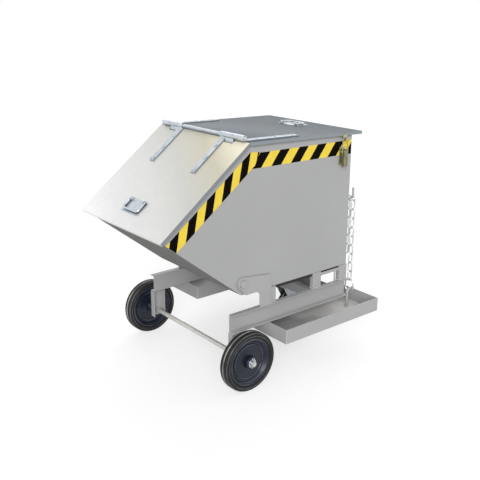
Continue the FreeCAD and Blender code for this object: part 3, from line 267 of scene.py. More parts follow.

# How much the coat's edges wear, and how much painted shade darkens its inner corners and its undersides.
EDGE_WEAR, CORNER_SHADE_DIRT, UNDERSIDE_SHADE, UNDERSIDE_MATT = 0.55, 0.22, 0.6, 0.5
PAINT_GLOSS, PEEL_DEPTH = 0.3, 0.00012


def sprayed(name, colour, worn, dust, shade_grime, dustiness=0.35):
    """A sprayed coat of one colour with its own worn edges, settled dust, corners darkened as painted shade
    and grime, and undersides painted darker as shade and duller.
    """
    finish, tree, shader = new_finish(name)
    film = use_effect(tree, paint_film)
    edges = use_effect(tree, rubbed_edges, Amount=EDGE_WEAR)
    corners = use_effect(tree, corner_shade_grime, Amount=CORNER_SHADE_DIRT)
    coat = blend_colour(tree, times(tree, film["Dust"], dustiness), toned(tree, colour, film["Tone"]), dust)
    # Faces that look down are painted darker: painted shade.
    underside_shaded = blend_colour(tree, times(tree, film["Underside"], UNDERSIDE_SHADE), coat, shade_grime)
    # Inner corners are painted darker from the occlusion mask: painted shade along with grime.
    corner_shaded = blend_colour(tree, corners["Mask"], underside_shaded, shade_grime)
    tree.links.new(blend_colour(tree, edges["Mask"], corner_shaded, worn), shader.inputs["Base Color"])
    matt = maths(tree, "ADD", film["Roughness"], times(tree, film["Underside"], UNDERSIDE_MATT))
    tree.links.new(matt, shader.inputs["Roughness"])
    shader.inputs["Specular IOR Level"].default_value = PAINT_GLOSS
    bump(tree, shader, film["Peel"], PEEL_DEPTH)
    return finish


PAINT_GREY = (0.400, 0.402, 0.404, 1)
PAINT_WORN = (0.56, 0.56, 0.555, 1)
PAINT_DUST = (0.43, 0.42, 0.40, 1)
# The shade-and-grime colour paints undersides and inner corners darker: painted shade.
PAINT_SHADE_GRIME = (0.17, 0.165, 0.155, 1)
grey_paint = sprayed("light_grey_paint", PAINT_GREY, PAINT_WORN, PAINT_DUST, PAINT_SHADE_GRIME)

for side in SIDES:
    soft_edged(f"rail_{side}", grey_paint, "grey_paint", edge=0.0008)

# Front legs and bearing plates: the legs are inward-opening channels welded under the rails' front
# ends and bored for the axle. The plates are cut from flat steel and welded on the rails, and their
# arms hold the tub's pivot bolts.
for side in SIDES:
    for node in (f"front_leg_{side}", f"bearing_plate_{side}"):
        soft_edged(node, grey_paint, "grey_paint", edge=0.0008)


def drawn_circle(radius, vertices, location=(0, 0, 0), rotation=(0, 0, 0), fill_type="NOTHING"):
    """Start a piece from one circle in its place, ready to be drawn out in edit mode."""
    clear_selection()
    bpy.ops.mesh.primitive_circle_add(vertices=vertices, radius=radius, location=location, rotation=rotation,
                                      fill_type=fill_type)
    settle()
    bpy.ops.object.mode_set(mode="EDIT")
    bpy.ops.mesh.select_all(action="SELECT")
    return bpy.context.object


def draw_out(way):
    """Extrude what is selected by one step."""
    bpy.ops.mesh.extrude_region_move(TRANSFORM_OT_translate={"value": way})


def face_out():
    """Turn all faces of a closed shape outwards and leave edit mode."""
    bpy.ops.mesh.select_all(action="SELECT")
    bpy.ops.mesh.normals_make_consistent(inside=False)
    bpy.ops.object.mode_set(mode="OBJECT")


def turn_to(way):
    """The turn that brings the upright axis onto a direction."""
    return Vector((0, 0, 1)).rotation_difference(Vector(way)).to_euler()


RIPPLE_LENGTH, RIPPLE_NECK, RIPPLE_SWELLS = 1.3, 0.84, (1.19, 0.84)


def weld_bead(start, end, radius):
    """A fillet weld: one ripple of the torch, repeated along the joint and laid down in its corner."""
    run = Vector(end) - Vector(start)
    ripple = radius * RIPPLE_LENGTH
    bead = drawn_circle(radius * RIPPLE_NECK, 8)
    for swell in RIPPLE_SWELLS:
        draw_out((0, 0, ripple / 2))
        bpy.ops.transform.resize(value=(swell, swell, 1))
    bpy.ops.object.mode_set(mode="OBJECT")
    apply_modifier(bead, "ARRAY", count=max(2, round(run.length / ripple)), use_relative_offset=False,
                   use_constant_offset=True, constant_offset_displace=(0, 0, ripple), use_merge_vertices=True)
    bpy.ops.object.mode_set(mode="EDIT")
    bpy.ops.mesh.select_all(action="SELECT")
    bpy.ops.mesh.fill_holes(sides=0)
    face_out()
    bpy.ops.object.shade_smooth()
    bead.rotation_euler = turn_to(run)
    bead.location = start
    return bead


def joined(pieces):
    """Several like pieces made one, each already in its place."""
    clear_selection()
    for piece in pieces:
        piece.select_set(True)
    bpy.context.view_layer.objects.active = pieces[0]
    settle()
    bpy.ops.object.join()
    return bpy.context.object


WELD, PLATE_FOOT = 0.0022, 0.060
# The welds take the grey coat, a little paler than the rest: a painted highlight along the seams.
WELD_HIGHLIGHT_GREY = (0.54, 0.54, 0.538, 1)
weld_highlight_paint = sprayed("weld_paint_highlight", WELD_HIGHLIGHT_GREY, PAINT_WORN, PAINT_DUST, PAINT_SHADE_GRIME)
rail_low, rail_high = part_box("rail_left")
leg_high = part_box("front_leg_left")[1]
plate_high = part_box("bearing_plate_left")[1]
frame_beads = []
for sign in SIDES.values():
    leg_x, plate_x = sign * rail_high.x, sign * plate_high.x
    frame_beads.append(weld_bead((leg_x, rail_low.y, rail_low.z), (leg_x, leg_high.y, rail_low.z), WELD))
    frame_beads.append(weld_bead((plate_x, plate_high.y - PLATE_FOOT, rail_high.z),
                                 (plate_x, plate_high.y, rail_high.z), WELD))

# Posts, rest ties and stay rod: short hollow sections that stand on the rails, tied by flat bars
# just under the tub's floor. The crossmember behind them carries the caster. All are welded in.
for node in ("front_posts", "middle_posts", "rear_posts", "rest_ties", "rear_crossmember"):
    soft_edged(node, grey_paint, "grey_paint", edge=0.0012)
soft_edged("stay_rod", grey_paint, "grey_paint", edge=0.0004)

POST_DEPTH = 0.020
for node in ("front_posts", "middle_posts", "rear_posts"):
    low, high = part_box(node)
    for sign in SIDES.values():
        outer, inner = sign * high.x, sign * (high.x - POST_DEPTH)
        frame_beads.append(weld_bead((outer, low.y, low.z), (outer, high.y, low.z), WELD))
        for y in (low.y, high.y):
            frame_beads.append(weld_bead((inner, y, low.z), (outer, y, low.z), WELD))
low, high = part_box("rear_crossmember")
for x in (high.x, low.x):
    for y in (low.y, high.y):
        frame_beads.append(weld_bead((x, y, low.z + WELD), (x, y, high.z), WELD))

# Trays: open pans folded from sheet with welded corners, hung under the rails on each side.
# Their upward faces are painted much paler: settled dust and painted light that lifts their shaded floors.
TRAY_SEAM, SEAM_INSET, TRAY_LIP = 0.0017, 0.0009, 0.005
PALE_DUST_AND_LIGHT = (0.68, 0.67, 0.655, 1)
dusty_lit_paint = sprayed("grey_paint_dust_and_light", PAINT_GREY, PAINT_WORN, PALE_DUST_AND_LIGHT, PAINT_SHADE_GRIME, dustiness=2.0)
for side in SIDES:
    soft_edged(f"tray_{side}", dusty_lit_paint, "grey_paint", edge=0.0009)
    low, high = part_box(f"tray_{side}")
    for x in (low.x + SEAM_INSET, high.x - SEAM_INSET):
        for y in (low.y + SEAM_INSET, high.y - SEAM_INSET):
            frame_beads.append(weld_bead((x, y, low.z), (x, y, high.z - TRAY_LIP), TRAY_SEAM))
fit_out(joined(frame_beads), "frame_welds", "chassis", weld_highlight_paint, "grey_paint")

# Front axle: one round bar of bright steel through both legs, with spacer tubes inside the wheels,
# then washers and split pins outside them that keep the wheels on.

# Bright zinc plating: a thin even coat with a bluish cast, cloudy where fingers have touched it.
zinc_bloom, bloom_in, bloom_out = new_effect(
    "zinc_bloom", {"Cloud Scale": 30.0, "Grain Scale": 260.0}, ("Tone", "Roughness", "Grain", "Tint"))
place = lay(zinc_bloom, "ShaderNodeTexCoord").outputs["Object"]
clouds = noise(zinc_bloom, place, scale=bloom_in["Cloud Scale"], detail=4.0)
grain = noise(zinc_bloom, place, scale=bloom_in["Grain Scale"], detail=4.0)
patches = lay(zinc_bloom, "ShaderNodeTexVoronoi",
              {"Vector": place, "Scale": bloom_in["Cloud Scale"]}).outputs["Distance"]
put_out(zinc_bloom, bloom_out, Tone=vary(zinc_bloom, clouds, (0.84, 1.06)),
        Roughness=vary(zinc_bloom, grain, (0.22, 0.40)), Grain=grain,
        Tint=spread(zinc_bloom, patches, (0.1, 0.7)))

PLATING_GRAIN = 0.00006


def plated(name, cool, warm, shade_grime, reach=0.008, cloud_scale=30.0, metallic=0.85, corner_shading=0.85):
    """A plated finish between a cool and a warm cast, darkened in its corners as painted shade and grime."""
    finish, tree, shader = new_finish(name)
    bloom = use_effect(tree, zinc_bloom, Cloud_Scale=cloud_scale)
    corners = use_effect(tree, corner_shade_grime, Reach=reach, Amount=corner_shading)
    cast = toned(tree, blend_colour(tree, bloom["Tint"], cool, warm), bloom["Tone"])
    tree.links.new(blend_colour(tree, corners["Mask"], cast, shade_grime), shader.inputs["Base Color"])
    tree.links.new(bloom["Roughness"], shader.inputs["Roughness"])
    shader.inputs["Metallic"].default_value = metallic
    bump(tree, shader, bloom["Grain"], PLATING_GRAIN)
    return finish


STEEL_COOL = (0.60, 0.59, 0.57, 1)
STEEL_WARM = (0.66, 0.645, 0.61, 1)
STEEL_SHADE_GRIME = (0.20, 0.19, 0.17, 1)
bright_steel = plated("bright_drawn_steel", STEEL_COOL, STEEL_WARM, STEEL_SHADE_GRIME, metallic=0.4)
ZINC_BLUE = (0.54, 0.61, 0.685, 1)
ZINC_WARM = (0.62, 0.66, 0.69, 1)
ZINC_SHADE_GRIME = (0.07, 0.085, 0.105, 1)
zinc_plate = plated("bright_zinc_plate", ZINC_BLUE, ZINC_WARM, ZINC_SHADE_GRIME)

soft_edged("front_axle", bright_steel, "grey_paint", edge=0.001)
soft_edged("axle_spacers", bright_steel, "zinc_steel", edge=0.0006)
soft_edged("axle_washers", zinc_plate, "zinc_steel", edge=0.0006)


def close_up(smooth_angle=180):
    """Merge a shaped piece's doubles, turn its faces outwards and smooth it up to an angle."""
    bpy.ops.mesh.select_all(action="SELECT")
    bpy.ops.mesh.remove_doubles(threshold=0.00001)
    face_out()
    bpy.ops.object.shade_smooth_by_angle(angle=math.radians(smooth_angle))


def bent_rod(corners, bends, radius, closed=False, sides=18, steps=10):
    """A round bar bent at each inner corner: draw the end, extrude each run and spin each bend."""
    spots = [Vector(corner) for corner in corners]
    first_way = (spots[1] - spots[0]).normalized()
    piece = drawn_circle(radius, sides, spots[0], turn_to(first_way), "NOTHING" if closed else "NGON")
    here = spots[0]
    for before, corner, after, bend in zip(spots, spots[1:], spots[2:], bends):
        arriving = (corner - before).normalized()
        leaving = (after - corner).normalized()
        angle = arriving.angle(leaving)
        start = corner - arriving * bend * math.tan(angle / 2)
        axis = arriving.cross(leaving).normalized()
        middle = start + axis.cross(arriving) * bend
        draw_out(start - here)
        bpy.ops.mesh.spin(steps=steps, angle=-angle, center=middle, axis=axis)
        here = corner + leaving * bend * math.tan(angle / 2)
    draw_out(spots[-1] - here)
    close_up(smooth_angle=40)
    return piece


def middle_of(node):
    """The middle of a CAD piece's box."""
    low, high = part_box(node)
    return (low + high) / 2


PIN_WIRE, PIN_SHANK = 0.0009, 0.002
PIN_PLAN = ((-0.0075, -0.0175), (-0.0010, -0.0125), (-0.0010, 0.0120), (-0.0052, 0.0170), (-0.0052, 0.0228),
            (0, 0.0272), (0.0052, 0.0228), (0.0052, 0.0170), (0.0010, 0.0120), (0.0010, -0.0125),
            (0.0095, -0.0165))
PIN_BENDS = (0.002, 0.003, 0.003, 0.003, 0.003, 0.003, 0.003, 0.003, 0.002)
pin_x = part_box("split_pins")[1].x - PIN_SHANK
axle = middle_of("front_axle")
pins = []
for sign in SIDES.values():
    pin_run = [(sign * pin_x, axle.y + y, axle.z + z) for y, z in PIN_PLAN]
    pins.append(bent_rod(pin_run, PIN_BENDS, PIN_WIRE, sides=10, steps=5))
fit_out(joined(pins), "split_pins_bent", "chassis", zinc_plate, "zinc_steel", "split_pins")

# Wheels: a solid rubber tyre pressed on a moulded wheel centre with a hub, a thin web and a rim.
# Both are turned shapes. The tyre has rounded shoulders and two fine ribs beside its tread.


def drawn_outline(points):
    """Start a piece from one point and draw its outline from there in edit mode."""
    clear_selection()
    bpy.ops.mesh.primitive_plane_add(size=0.001, location=points[0])
    bpy.ops.object.mode_set(mode="EDIT")
    bpy.ops.mesh.merge(type="CENTER")
    for before, after in zip(points, points[1:]):
        draw_out(Vector(after) - Vector(before))
    bpy.ops.mesh.select_all(action="SELECT")
    return bpy.context.object


def turned(half_outline, centre, steps=96):
    """Mirror half an outline of (along the axle, from the axle) points and spin it about the axle."""
    other_half = [(-along, out) for along, out in reversed(half_outline)]
    outline = half_outline + other_half + half_outline[:1]
    piece = drawn_outline([centre + Vector((along, 0, out)) for along, out in outline])
    bpy.ops.mesh.spin(steps=steps, angle=2 * math.pi, center=centre, axis=(1, 0, 0))
    close_up(smooth_angle=28)
    return piece


# Ring highlights: pale lines painted along the tread's seam and the crests of its steps as painted
# highlights, each crest given by its share of the rim's radius and its strength.
TREAD_SHARE = 1.235
CREST_SHARES = ((1.228, 0.25), (1.115, 0.3), (0.972, 0.9), (0.885, 0.5), (0.722, 0.9))
ring_highlights, ring_highlight_in, ring_highlight_out = new_effect(
    "ring_highlights", {"Centre X": 0.0, "Centre Y": 0.0, "Centre Z": 0.0, "Rim": 0.1, "Amount": 1.0}, ("Mask",))
place = lay(ring_highlights, "ShaderNodeTexCoord").outputs["Object"]
spot = lay(ring_highlights, "ShaderNodeSeparateXYZ", {0: place}).outputs
beside = maths(ring_highlights, "SUBTRACT", spot["X"], ring_highlight_in["Centre X"])
behind = maths(ring_highlights, "SUBTRACT", spot["Y"], ring_highlight_in["Centre Y"])
above = maths(ring_highlights, "SUBTRACT", spot["Z"], ring_highlight_in["Centre Z"])
flat_spot = lay(ring_highlights, "ShaderNodeCombineXYZ", {1: behind, 2: above}).outputs[0]
from_axle = lay(ring_highlights, "ShaderNodeVectorMath", {0: flat_spot}, operation="LENGTH").outputs["Value"]
off_seam = maths(ring_highlights, "ABSOLUTE", beside)
tread = maths(ring_highlights, "GREATER_THAN", from_axle, times(ring_highlights, ring_highlight_in["Rim"], TREAD_SHARE))
lines = times(ring_highlights, spread(ring_highlights, off_seam, (0.0018, 0.0046), (1.0, 0.0)), tread)
for share, strength in CREST_SHARES:
    away = maths(ring_highlights, "SUBTRACT", from_axle, times(ring_highlights, ring_highlight_in["Rim"], share))
    line = spread(ring_highlights, maths(ring_highlights, "ABSOLUTE", away), (0.0005, 0.0018), (strength, 0.0))
    lines = maths(ring_highlights, "MAXIMUM", lines, line)
# A cloudy pattern breaks the painted highlight lines into part arcs.
worn = spread(ring_highlights, noise(ring_highlights, place, scale=14.0, detail=4.0), (0.36, 0.64), (0.15, 1.0))
put_out(ring_highlights, ring_highlight_out, Mask=times(ring_highlights, times(ring_highlights, lines, worn), ring_highlight_in["Amount"]))

RING_HIGHLIGHT_AMOUNT, MOULD_CLOUDS, MOULD_GRAIN = 0.8, 9.0, 0.00003


def dark_moulding(name, colour, bloom, highlight_colour, smooth, rough, gloss, peel_scale, centre, rim):
    """A moulded dark material with a faint bloom and painted highlights along its raised rings."""
    finish, tree, shader = new_finish(name)
    film = use_effect(tree, paint_film, Cloud_Scale=MOULD_CLOUDS, Peel_Scale=peel_scale)
    rings = use_effect(tree, ring_highlights, Centre_X=centre.x, Centre_Y=centre.y, Centre_Z=centre.z, Rim=rim,
                       Amount=RING_HIGHLIGHT_AMOUNT)
    tone = blend_colour(tree, spread(tree, film["Tone"], FILM_TONES, (0.0, 0.8)), colour, bloom)
    tree.links.new(blend_colour(tree, rings["Mask"], tone, highlight_colour), shader.inputs["Base Color"])
    dullness = spread(tree, film["Roughness"], FILM_ROUGHNESS, (smooth, rough))
    tree.links.new(dullness, shader.inputs["Roughness"])
    shader.inputs["Specular IOR Level"].default_value = gloss
    bump(tree, shader, film["Peel"], MOULD_GRAIN)
    return finish


RUBBER_BLACK = (0.010, 0.010, 0.011, 1)
RUBBER_BLOOM = (0.017, 0.017, 0.019, 1)
RUBBER_HIGHLIGHT = (0.60, 0.59, 0.56, 1)
MOULDED_BLUE_BLACK = (0.006, 0.008, 0.018, 1)
MOULDED_BLOOM = (0.013, 0.017, 0.032, 1)
MOULDED_HIGHLIGHT = (0.17, 0.21, 0.26, 1)


def wheel(prefix, body, shoulder, rim_half, web_half, hub, hub_half, bore):
    """One tyre and one wheel centre, with the stepped rings of the moulding."""
    centre = middle_of(f"{prefix}_tyre")
    tyre_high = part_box(f"{prefix}_tyre")[1]
    half_width, radius = tyre_high.x - centre.x, tyre_high.z - centre.z
    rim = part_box(f"{prefix}_wheel_centre")[1].y - centre.y
    rubber = dark_moulding(f"{prefix}_rubber", RUBBER_BLACK, RUBBER_BLOOM, RUBBER_HIGHLIGHT, smooth=0.50,
                           rough=0.68, gloss=0.25, peel_scale=900.0, centre=centre, rim=rim)
    moulded = dark_moulding(f"{prefix}_moulding", MOULDED_BLUE_BLACK, MOULDED_BLOOM, MOULDED_HIGHLIGHT,
                            smooth=0.22, rough=0.36, gloss=0.35, peel_scale=700.0, centre=centre, rim=rim)
    rib = half_width - 0.0012
    tread_edge = radius - shoulder
    seat = [(half_width - 0.004, rim), (half_width - 0.0015, rim + 0.0015), (half_width, rim + 0.006)]
    side_wall = [(half_width - 0.0006, rim + 0.011), (half_width, tread_edge - 0.003)]
    fine_rib = [(rib, tread_edge - 0.001), (rib, tread_edge + 0.0006),
                (half_width - 0.001, tread_edge + 0.002)]
    round_shoulder = [(half_width - 0.0032, radius - 0.0044), (half_width - 0.0060, radius - 0.0018),
                      (half_width - shoulder, radius - 0.0004)]
    tread = [(half_width - shoulder - 0.004, radius)]
    tyre = turned(seat + side_wall + fine_rib + round_shoulder + tread, centre)
    fit_out(tyre, f"{prefix}_tyre_moulded", body, rubber, "black_rubber", f"{prefix}_tyre")
    dish = rim - 0.013
    step = hub + (dish - hub) * 0.73
    hub_end = [(hub_half, bore), (hub_half, hub - 0.003), (hub_half - 0.0015, hub - 0.0008),
               (hub_half - 0.004, hub)]
    hub_foot = [(web_half + 0.005, hub), (web_half + 0.0022, hub + 0.0012), (web_half + 0.001, hub + 0.005)]
    raised_ring = [(web_half + 0.001, step - 0.002), (web_half + 0.0035, step),
                   (web_half + 0.0035, step + 0.003), (web_half, step + 0.005)]
    dish_wall = [(web_half, dish - 0.007), (web_half + 0.001, dish - 0.004), (web_half + 0.004, dish - 0.001),
                 (rim_half - 0.003, dish + 0.003), (rim_half - 0.001, dish + 0.005)]
    rim_edge = [(rim_half, dish + 0.007), (rim_half, rim - 0.002), (rim_half - 0.001, rim)]
    wheel_centre = turned(hub_end + hub_foot + raised_ring + dish_wall + rim_edge, centre)
    fit_out(wheel_centre, f"{prefix}_wheel_centre_moulded", body, moulded, "dark_plastic",
            f"{prefix}_wheel_centre")


for side in SIDES:
    wheel(f"front_{side}", f"{side}_wheel", shoulder=0.009, rim_half=0.021, web_half=0.006, hub=0.027,
          hub_half=0.028, bore=0.01005)

# Swivel caster: a pressed plate with a ball race, a fork that trails behind its kingpin, and a
# smaller wheel of the same build on a bolt. The pressings are zinc plated in a darker grey than the other
# zinc.
CASTER_COOL = (0.33, 0.37, 0.41, 1)
CASTER_WARM = (0.40, 0.42, 0.43, 1)
caster_zinc = plated("caster_zinc", CASTER_COOL, CASTER_WARM, ZINC_SHADE_GRIME, metallic=0.6)
for node in ("caster_plate", "caster_fork"):
    soft_edged(node, caster_zinc, "zinc_steel", edge=0.0008)
for node in ("caster_kingpin", "caster_axle_bolt"):
    soft_edged(node, zinc_plate, "zinc_steel", edge=0.0006)
wheel("caster", "caster_wheel", shoulder=0.008, rim_half=0.019, web_half=0.006, hub=0.022, hub_half=0.0248,
      bore=0.00705)

# Tub: two flat side sheets and one bent wrapper that is rear wall, floor and chute, seam-welded
# along their edges, with runners under the floor and pads inside at the pivot. It hangs on two
# bolts through the bearing plates, sprayed over with the rest. The runners are painted black as
# painted shade, for the dark gap under the tub.
soft_edged("pivot_bolts", grey_paint, "zinc_steel", edge=0.0009)
for node in ("skip_side_left", "skip_side_right", "skip_wrapper"):
    soft_edged(node, grey_paint, "grey_paint", edge=0.0009)
for node in ("pivot_pads", "ridge_bar"):
    soft_edged(node, grey_paint, "grey_paint", edge=0.001)
# Runner colour: near black, painted shade for the dark gap under the tub's floor.
RUNNER_SHADE_BLACK = (0.016, 0.016, 0.017, 1)
RUNNER_WORN = (0.09, 0.09, 0.09, 1)
runner_shade_black = sprayed("runner_painted_shade", RUNNER_SHADE_BLACK, RUNNER_WORN, RUNNER_WORN, RUNNER_SHADE_BLACK)
soft_edged("floor_runners", runner_shade_black, "grey_paint", edge=0.001)

SEAM, SEAM_SUNK = 0.003, 0.0005
SEAM_RUNS = (((-0.145, 0.377), (0.434, 0.377)), ((0.444, 0.387), (0.444, 0.945)),
             ((-0.163, 0.383), (-0.505, 0.655)))
seam_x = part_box("skip_wrapper")[1].x - SEAM_SUNK
seams = []
for sign in SIDES.values():
    for (y, z), (end_y, end_z) in SEAM_RUNS:
        seams.append(weld_bead((sign * seam_x, y, z), (sign * seam_x, end_y, end_z), SEAM))
fit_out(joined(seams), "tub_seam_welds", "skip", weld_highlight_paint, "grey_paint")

# Edge strips: thin black strips under the tub's lower edges, between the posts that it rests
# on. They are cut from a strip with rounded edges and show as a black line below the tub: painted
# shade, a dark piece put where the shadow line under the tub falls.
STRIP_WIDTH, STRIP_INSET, STRIP_GAP, STRIP_ROUND = 0.0095, 0.0005, 0.0002, 0.0016
STRIP_RUNS = ((0.031, 0.237, 0.3615), (0.297, 0.398, 0.3665))
tub_low, tub_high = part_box("skip_side_left")
strip_x = tub_high.x - STRIP_INSET - STRIP_WIDTH / 2
strip_top = tub_low.z - STRIP_GAP
strips = []
for sign in SIDES.values():
    for front, rear, bottom in STRIP_RUNS:
        clear_selection()
        spot = (sign * strip_x, (front + rear) / 2, (strip_top + bottom) / 2)
        bpy.ops.mesh.primitive_cube_add(size=1, location=spot)
        strip = bpy.context.object
        strip.scale = (STRIP_WIDTH, rear - front, strip_top - bottom)
        settle()
        apply_bevel(strip, STRIP_ROUND, segments=3)
        strips.append(strip)
fit_out(joined(strips), "tub_edge_strips", "skip", runner_shade_black, "black_rubber")

# Hazard tape: printed vinyl strip in yellow and black stuck along the top of each tub side and down
# its sloping edge. The two lengths meet at the ridge, the sloping one on top.


def cut_plate(outline, thickness):
    """A thin flat piece: draw its outline point by point, fill it and give it a thickness."""
    piece = drawn_outline(outline)
    bpy.ops.mesh.edge_face_add()
    draw_out(thickness)
    face_out()
    return piece


stripes, stripe_in, stripe_out = new_effect(
    "diagonal_stripes", {"Across Y": 1.0, "Across Z": 0.0, "Pitch": 0.08, "Start": 0.0}, ("Mask", "Wear"))
place = lay(stripes, "ShaderNodeTexCoord").outputs["Object"]
across = lay(stripes, "ShaderNodeCombineXYZ", {1: stripe_in["Across Y"], 2: stripe_in["Across Z"]})
along = lay(stripes, "ShaderNodeVectorMath", {0: place, 1: across.outputs[0]}, operation="DOT_PRODUCT")
shifted = maths(stripes, "SUBTRACT", along.outputs["Value"], stripe_in["Start"])
share = maths(stripes, "FRACT", maths(stripes, "DIVIDE", shifted, stripe_in["Pitch"]))
put_out(stripes, stripe_out, Mask=maths(stripes, "LESS_THAN", share, 0.5),
        Wear=vary(stripes, noise(stripes, place, scale=55.0, detail=5.0)))

TAPE_YELLOW = (0.86, 0.635, 0.055, 1)
TAPE_YELLOW_FADED = (0.88, 0.69, 0.11, 1)
TAPE_BLACK = (0.003, 0.0025, 0.002, 1)
TAPE_GLOSS, TAPE_RELIEF = 0.03, 0.0001


def tape_finish(name, slant, pitch, first_stripe):
    """Vinyl with stripes at a set slant, a little uneven where it was rubbed down."""
    finish, tree, shader = new_finish(name)
    printed = use_effect(tree, stripes, Across_Y=slant[0], Across_Z=slant[1], Pitch=pitch,
                         Start=Vector(first_stripe).dot(Vector(slant)))
    yellow = blend_colour(tree, printed["Wear"], TAPE_YELLOW, TAPE_YELLOW_FADED)
    tree.links.new(blend_colour(tree, printed["Mask"], yellow, TAPE_BLACK), shader.inputs["Base Color"])
    tree.links.new(spread(tree, printed["Wear"], (0.0, 1.0), (0.30, 0.46)), shader.inputs["Roughness"])
    shader.inputs["Specular IOR Level"].default_value = TAPE_GLOSS
    bump(tree, shader, printed["Wear"], TAPE_RELIEF)
    return finish


TAPE_LAP, TAPE_THICK = 0.00005, 0.0003
TOP_BAND = ((-0.128, 0.8803), (0.4455, 0.8735), (0.4455, 0.9325), (-0.105, 0.9391))
SLOPE_BAND = ((-0.1160, 0.8715), (-0.0895, 0.8925), (-0.0760, 0.9240), (-0.0660, 0.9410), (-0.1120, 0.9450),
              (-0.5050, 0.6525), (-0.4597, 0.6165))
tape_top = tape_finish("hazard_tape_top", slant=(0.788, -0.616), pitch=0.082, first_stripe=(-0.008, 0.877))
tape_slope = tape_finish("hazard_tape_slope", slant=(0.982, -0.189), pitch=0.0702,
                         first_stripe=(-0.1516, 0.9196))
for side, sign in SIDES.items():
    for label, band, finish, layer in (("top", TOP_BAND, tape_top, 0), ("slope", SLOPE_BAND, tape_slope, 1)):
        face_x = sign * (tub_high.x + TAPE_LAP + layer * (TAPE_THICK + TAPE_LAP))
        strip = cut_plate([(face_x, y, z) for y, z in band], (sign * TAPE_THICK, 0, 0))
        fit_out(strip, f"hazard_tape_{label}_{side}", "skip", finish, "grey_paint")

# Hinge: brackets cut from flat steel and welded on the ridge bar, and one round bar through them
# that both lids turn on. All of it is zinc plated.
for node in ("hinge_brackets", "hinge_rod"):
    soft_edged(node, zinc_plate, "zinc_steel", edge=0.0006)

# Lids: galvanised sheet with skirts folded down on three edges. The sheet keeps its mill finish of fine
# spangle. Their colour carries a painted reflection: the front one is painted bright, grading to beige,
# and the rear one is painted a dark blue grey.
FLAKE_TONES, FLAKE_WARP = (0.98, 1.02), 0.02
spangle, spangle_in, spangle_out = new_effect(
    "zinc_spangle", {"Flake Scale": 55.0, "Cloud Scale": 3.2}, ("Flake", "Cloud", "Grain"))
place = lay(spangle, "ShaderNodeTexCoord").outputs["Object"]
bends = lay(spangle, "ShaderNodeTexNoise", {"Vector": place, "Scale": 40.0, "Detail": 2.0}).outputs["Color"]
bent = lay(spangle, "ShaderNodeMix", {0: FLAKE_WARP, 4: place, 5: bends}, data_type="VECTOR").outputs[1]
flakes = lay(spangle, "ShaderNodeTexVoronoi", {"Vector": bent, "Scale": spangle_in["Flake Scale"]})
flake_tone = lay(spangle, "ShaderNodeSeparateColor", {0: flakes.outputs["Color"]}).outputs[0]
clouds = noise(spangle, place, scale=spangle_in["Cloud Scale"], detail=5.0)
put_out(spangle, spangle_out, Flake=spread(spangle, flake_tone, (0.0, 1.0), FLAKE_TONES),
        Cloud=spread(spangle, clouds, (0.32, 0.68)), Grain=noise(spangle, place, scale=600.0, detail=2.0))

SPANGLE_RELIEF, SPANGLE_SPREAD = 0.00005, 0.12


def galvanised(name, reflection_tones, lean, start, end, skirt_lighting, metallic, gloss, smooth):
    """Zinc-coated sheet with a painted reflection that changes its tone along one direction, skirts in a tone
    of their own as painted light and shade, and corners darkened as painted shade and grime.
    """
    finish, tree, shader = new_finish(name)
    coat = use_effect(tree, spangle)
    corners = use_effect(tree, corner_shade_grime, Reach=0.008, Amount=0.7)
    place = lay(tree, "ShaderNodeTexCoord").outputs
    along = lay(tree, "ShaderNodeVectorMath", {0: place["Object"], 1: lean}, operation="DOT_PRODUCT")
    ramp = lay(tree, "ShaderNodeValToRGB", {0: spread(tree, along.outputs["Value"], (start, end))})
    stops = ramp.color_ramp.elements
    # The ramp's tones are a painted reflection laid across the lid.
    stops[0].color = reflection_tones[0]
    stops[1].color = reflection_tones[-1]
    for index, tone in enumerate(reflection_tones[1:-1], 1):
        stops.new(index / (len(reflection_tones) - 1)).color = tone
    clouded = toned(tree, ramp.outputs[0], spread(tree, coat["Cloud"], (0.0, 1.0), (1.02, 0.97)))
    flaked = toned(tree, clouded, coat["Flake"])
    # Faces that turn sideways, the skirts, take a tone of their own: painted light and shade.
    facing = lay(tree, "ShaderNodeSeparateXYZ", {0: place["Normal"]}).outputs["X"]
    sideways = spread(tree, maths(tree, "ABSOLUTE", facing), (0.55, 0.85))
    sheet = blend_colour(tree, sideways, flaked, skirt_lighting)
    tree.links.new(blend_colour(tree, corners["Mask"], sheet, ZINC_SHADE_GRIME), shader.inputs["Base Color"])
    dullness = spread(tree, coat["Flake"], FLAKE_TONES, (smooth, smooth + SPANGLE_SPREAD))
    tree.links.new(dullness, shader.inputs["Roughness"])
    shader.inputs["Metallic"].default_value = metallic
    shader.inputs["Specular IOR Level"].default_value = gloss
    bump(tree, shader, coat["Grain"], SPANGLE_RELIEF)
    return finish


FRONT_REFLECTION_TONES = ((0.95, 0.95, 0.95, 1), (0.78, 0.78, 0.78, 1), (0.71, 0.71, 0.70, 1), (0.60, 0.60, 0.57, 1),
               (0.58, 0.55, 0.43, 1), (0.96, 0.905, 0.71, 1))
FRONT_SKIRT_SHADE = (0.25, 0.26, 0.285, 1)
front_sheet = galvanised("galvanised_front", FRONT_REFLECTION_TONES, lean=(0.45, 1.0, 0), start=-0.665, end=0.005,
                         skirt_lighting=FRONT_SKIRT_SHADE, metallic=0.35, gloss=0.3, smooth=0.34)
REAR_REFLECTION_TONES = ((0.16, 0.195, 0.225, 1), (0.25, 0.272, 0.295, 1), (0.20, 0.22, 0.236, 1),
              (0.185, 0.205, 0.22, 1))
REAR_SKIRT_LIGHT = (0.29, 0.32, 0.335, 1)
rear_sheet = galvanised("galvanised_rear", REAR_REFLECTION_TONES, lean=(-0.35, 1.0, 0), start=-0.15, end=0.55,
                        skirt_lighting=REAR_SKIRT_LIGHT, metallic=0.12, gloss=0.02, smooth=0.52)
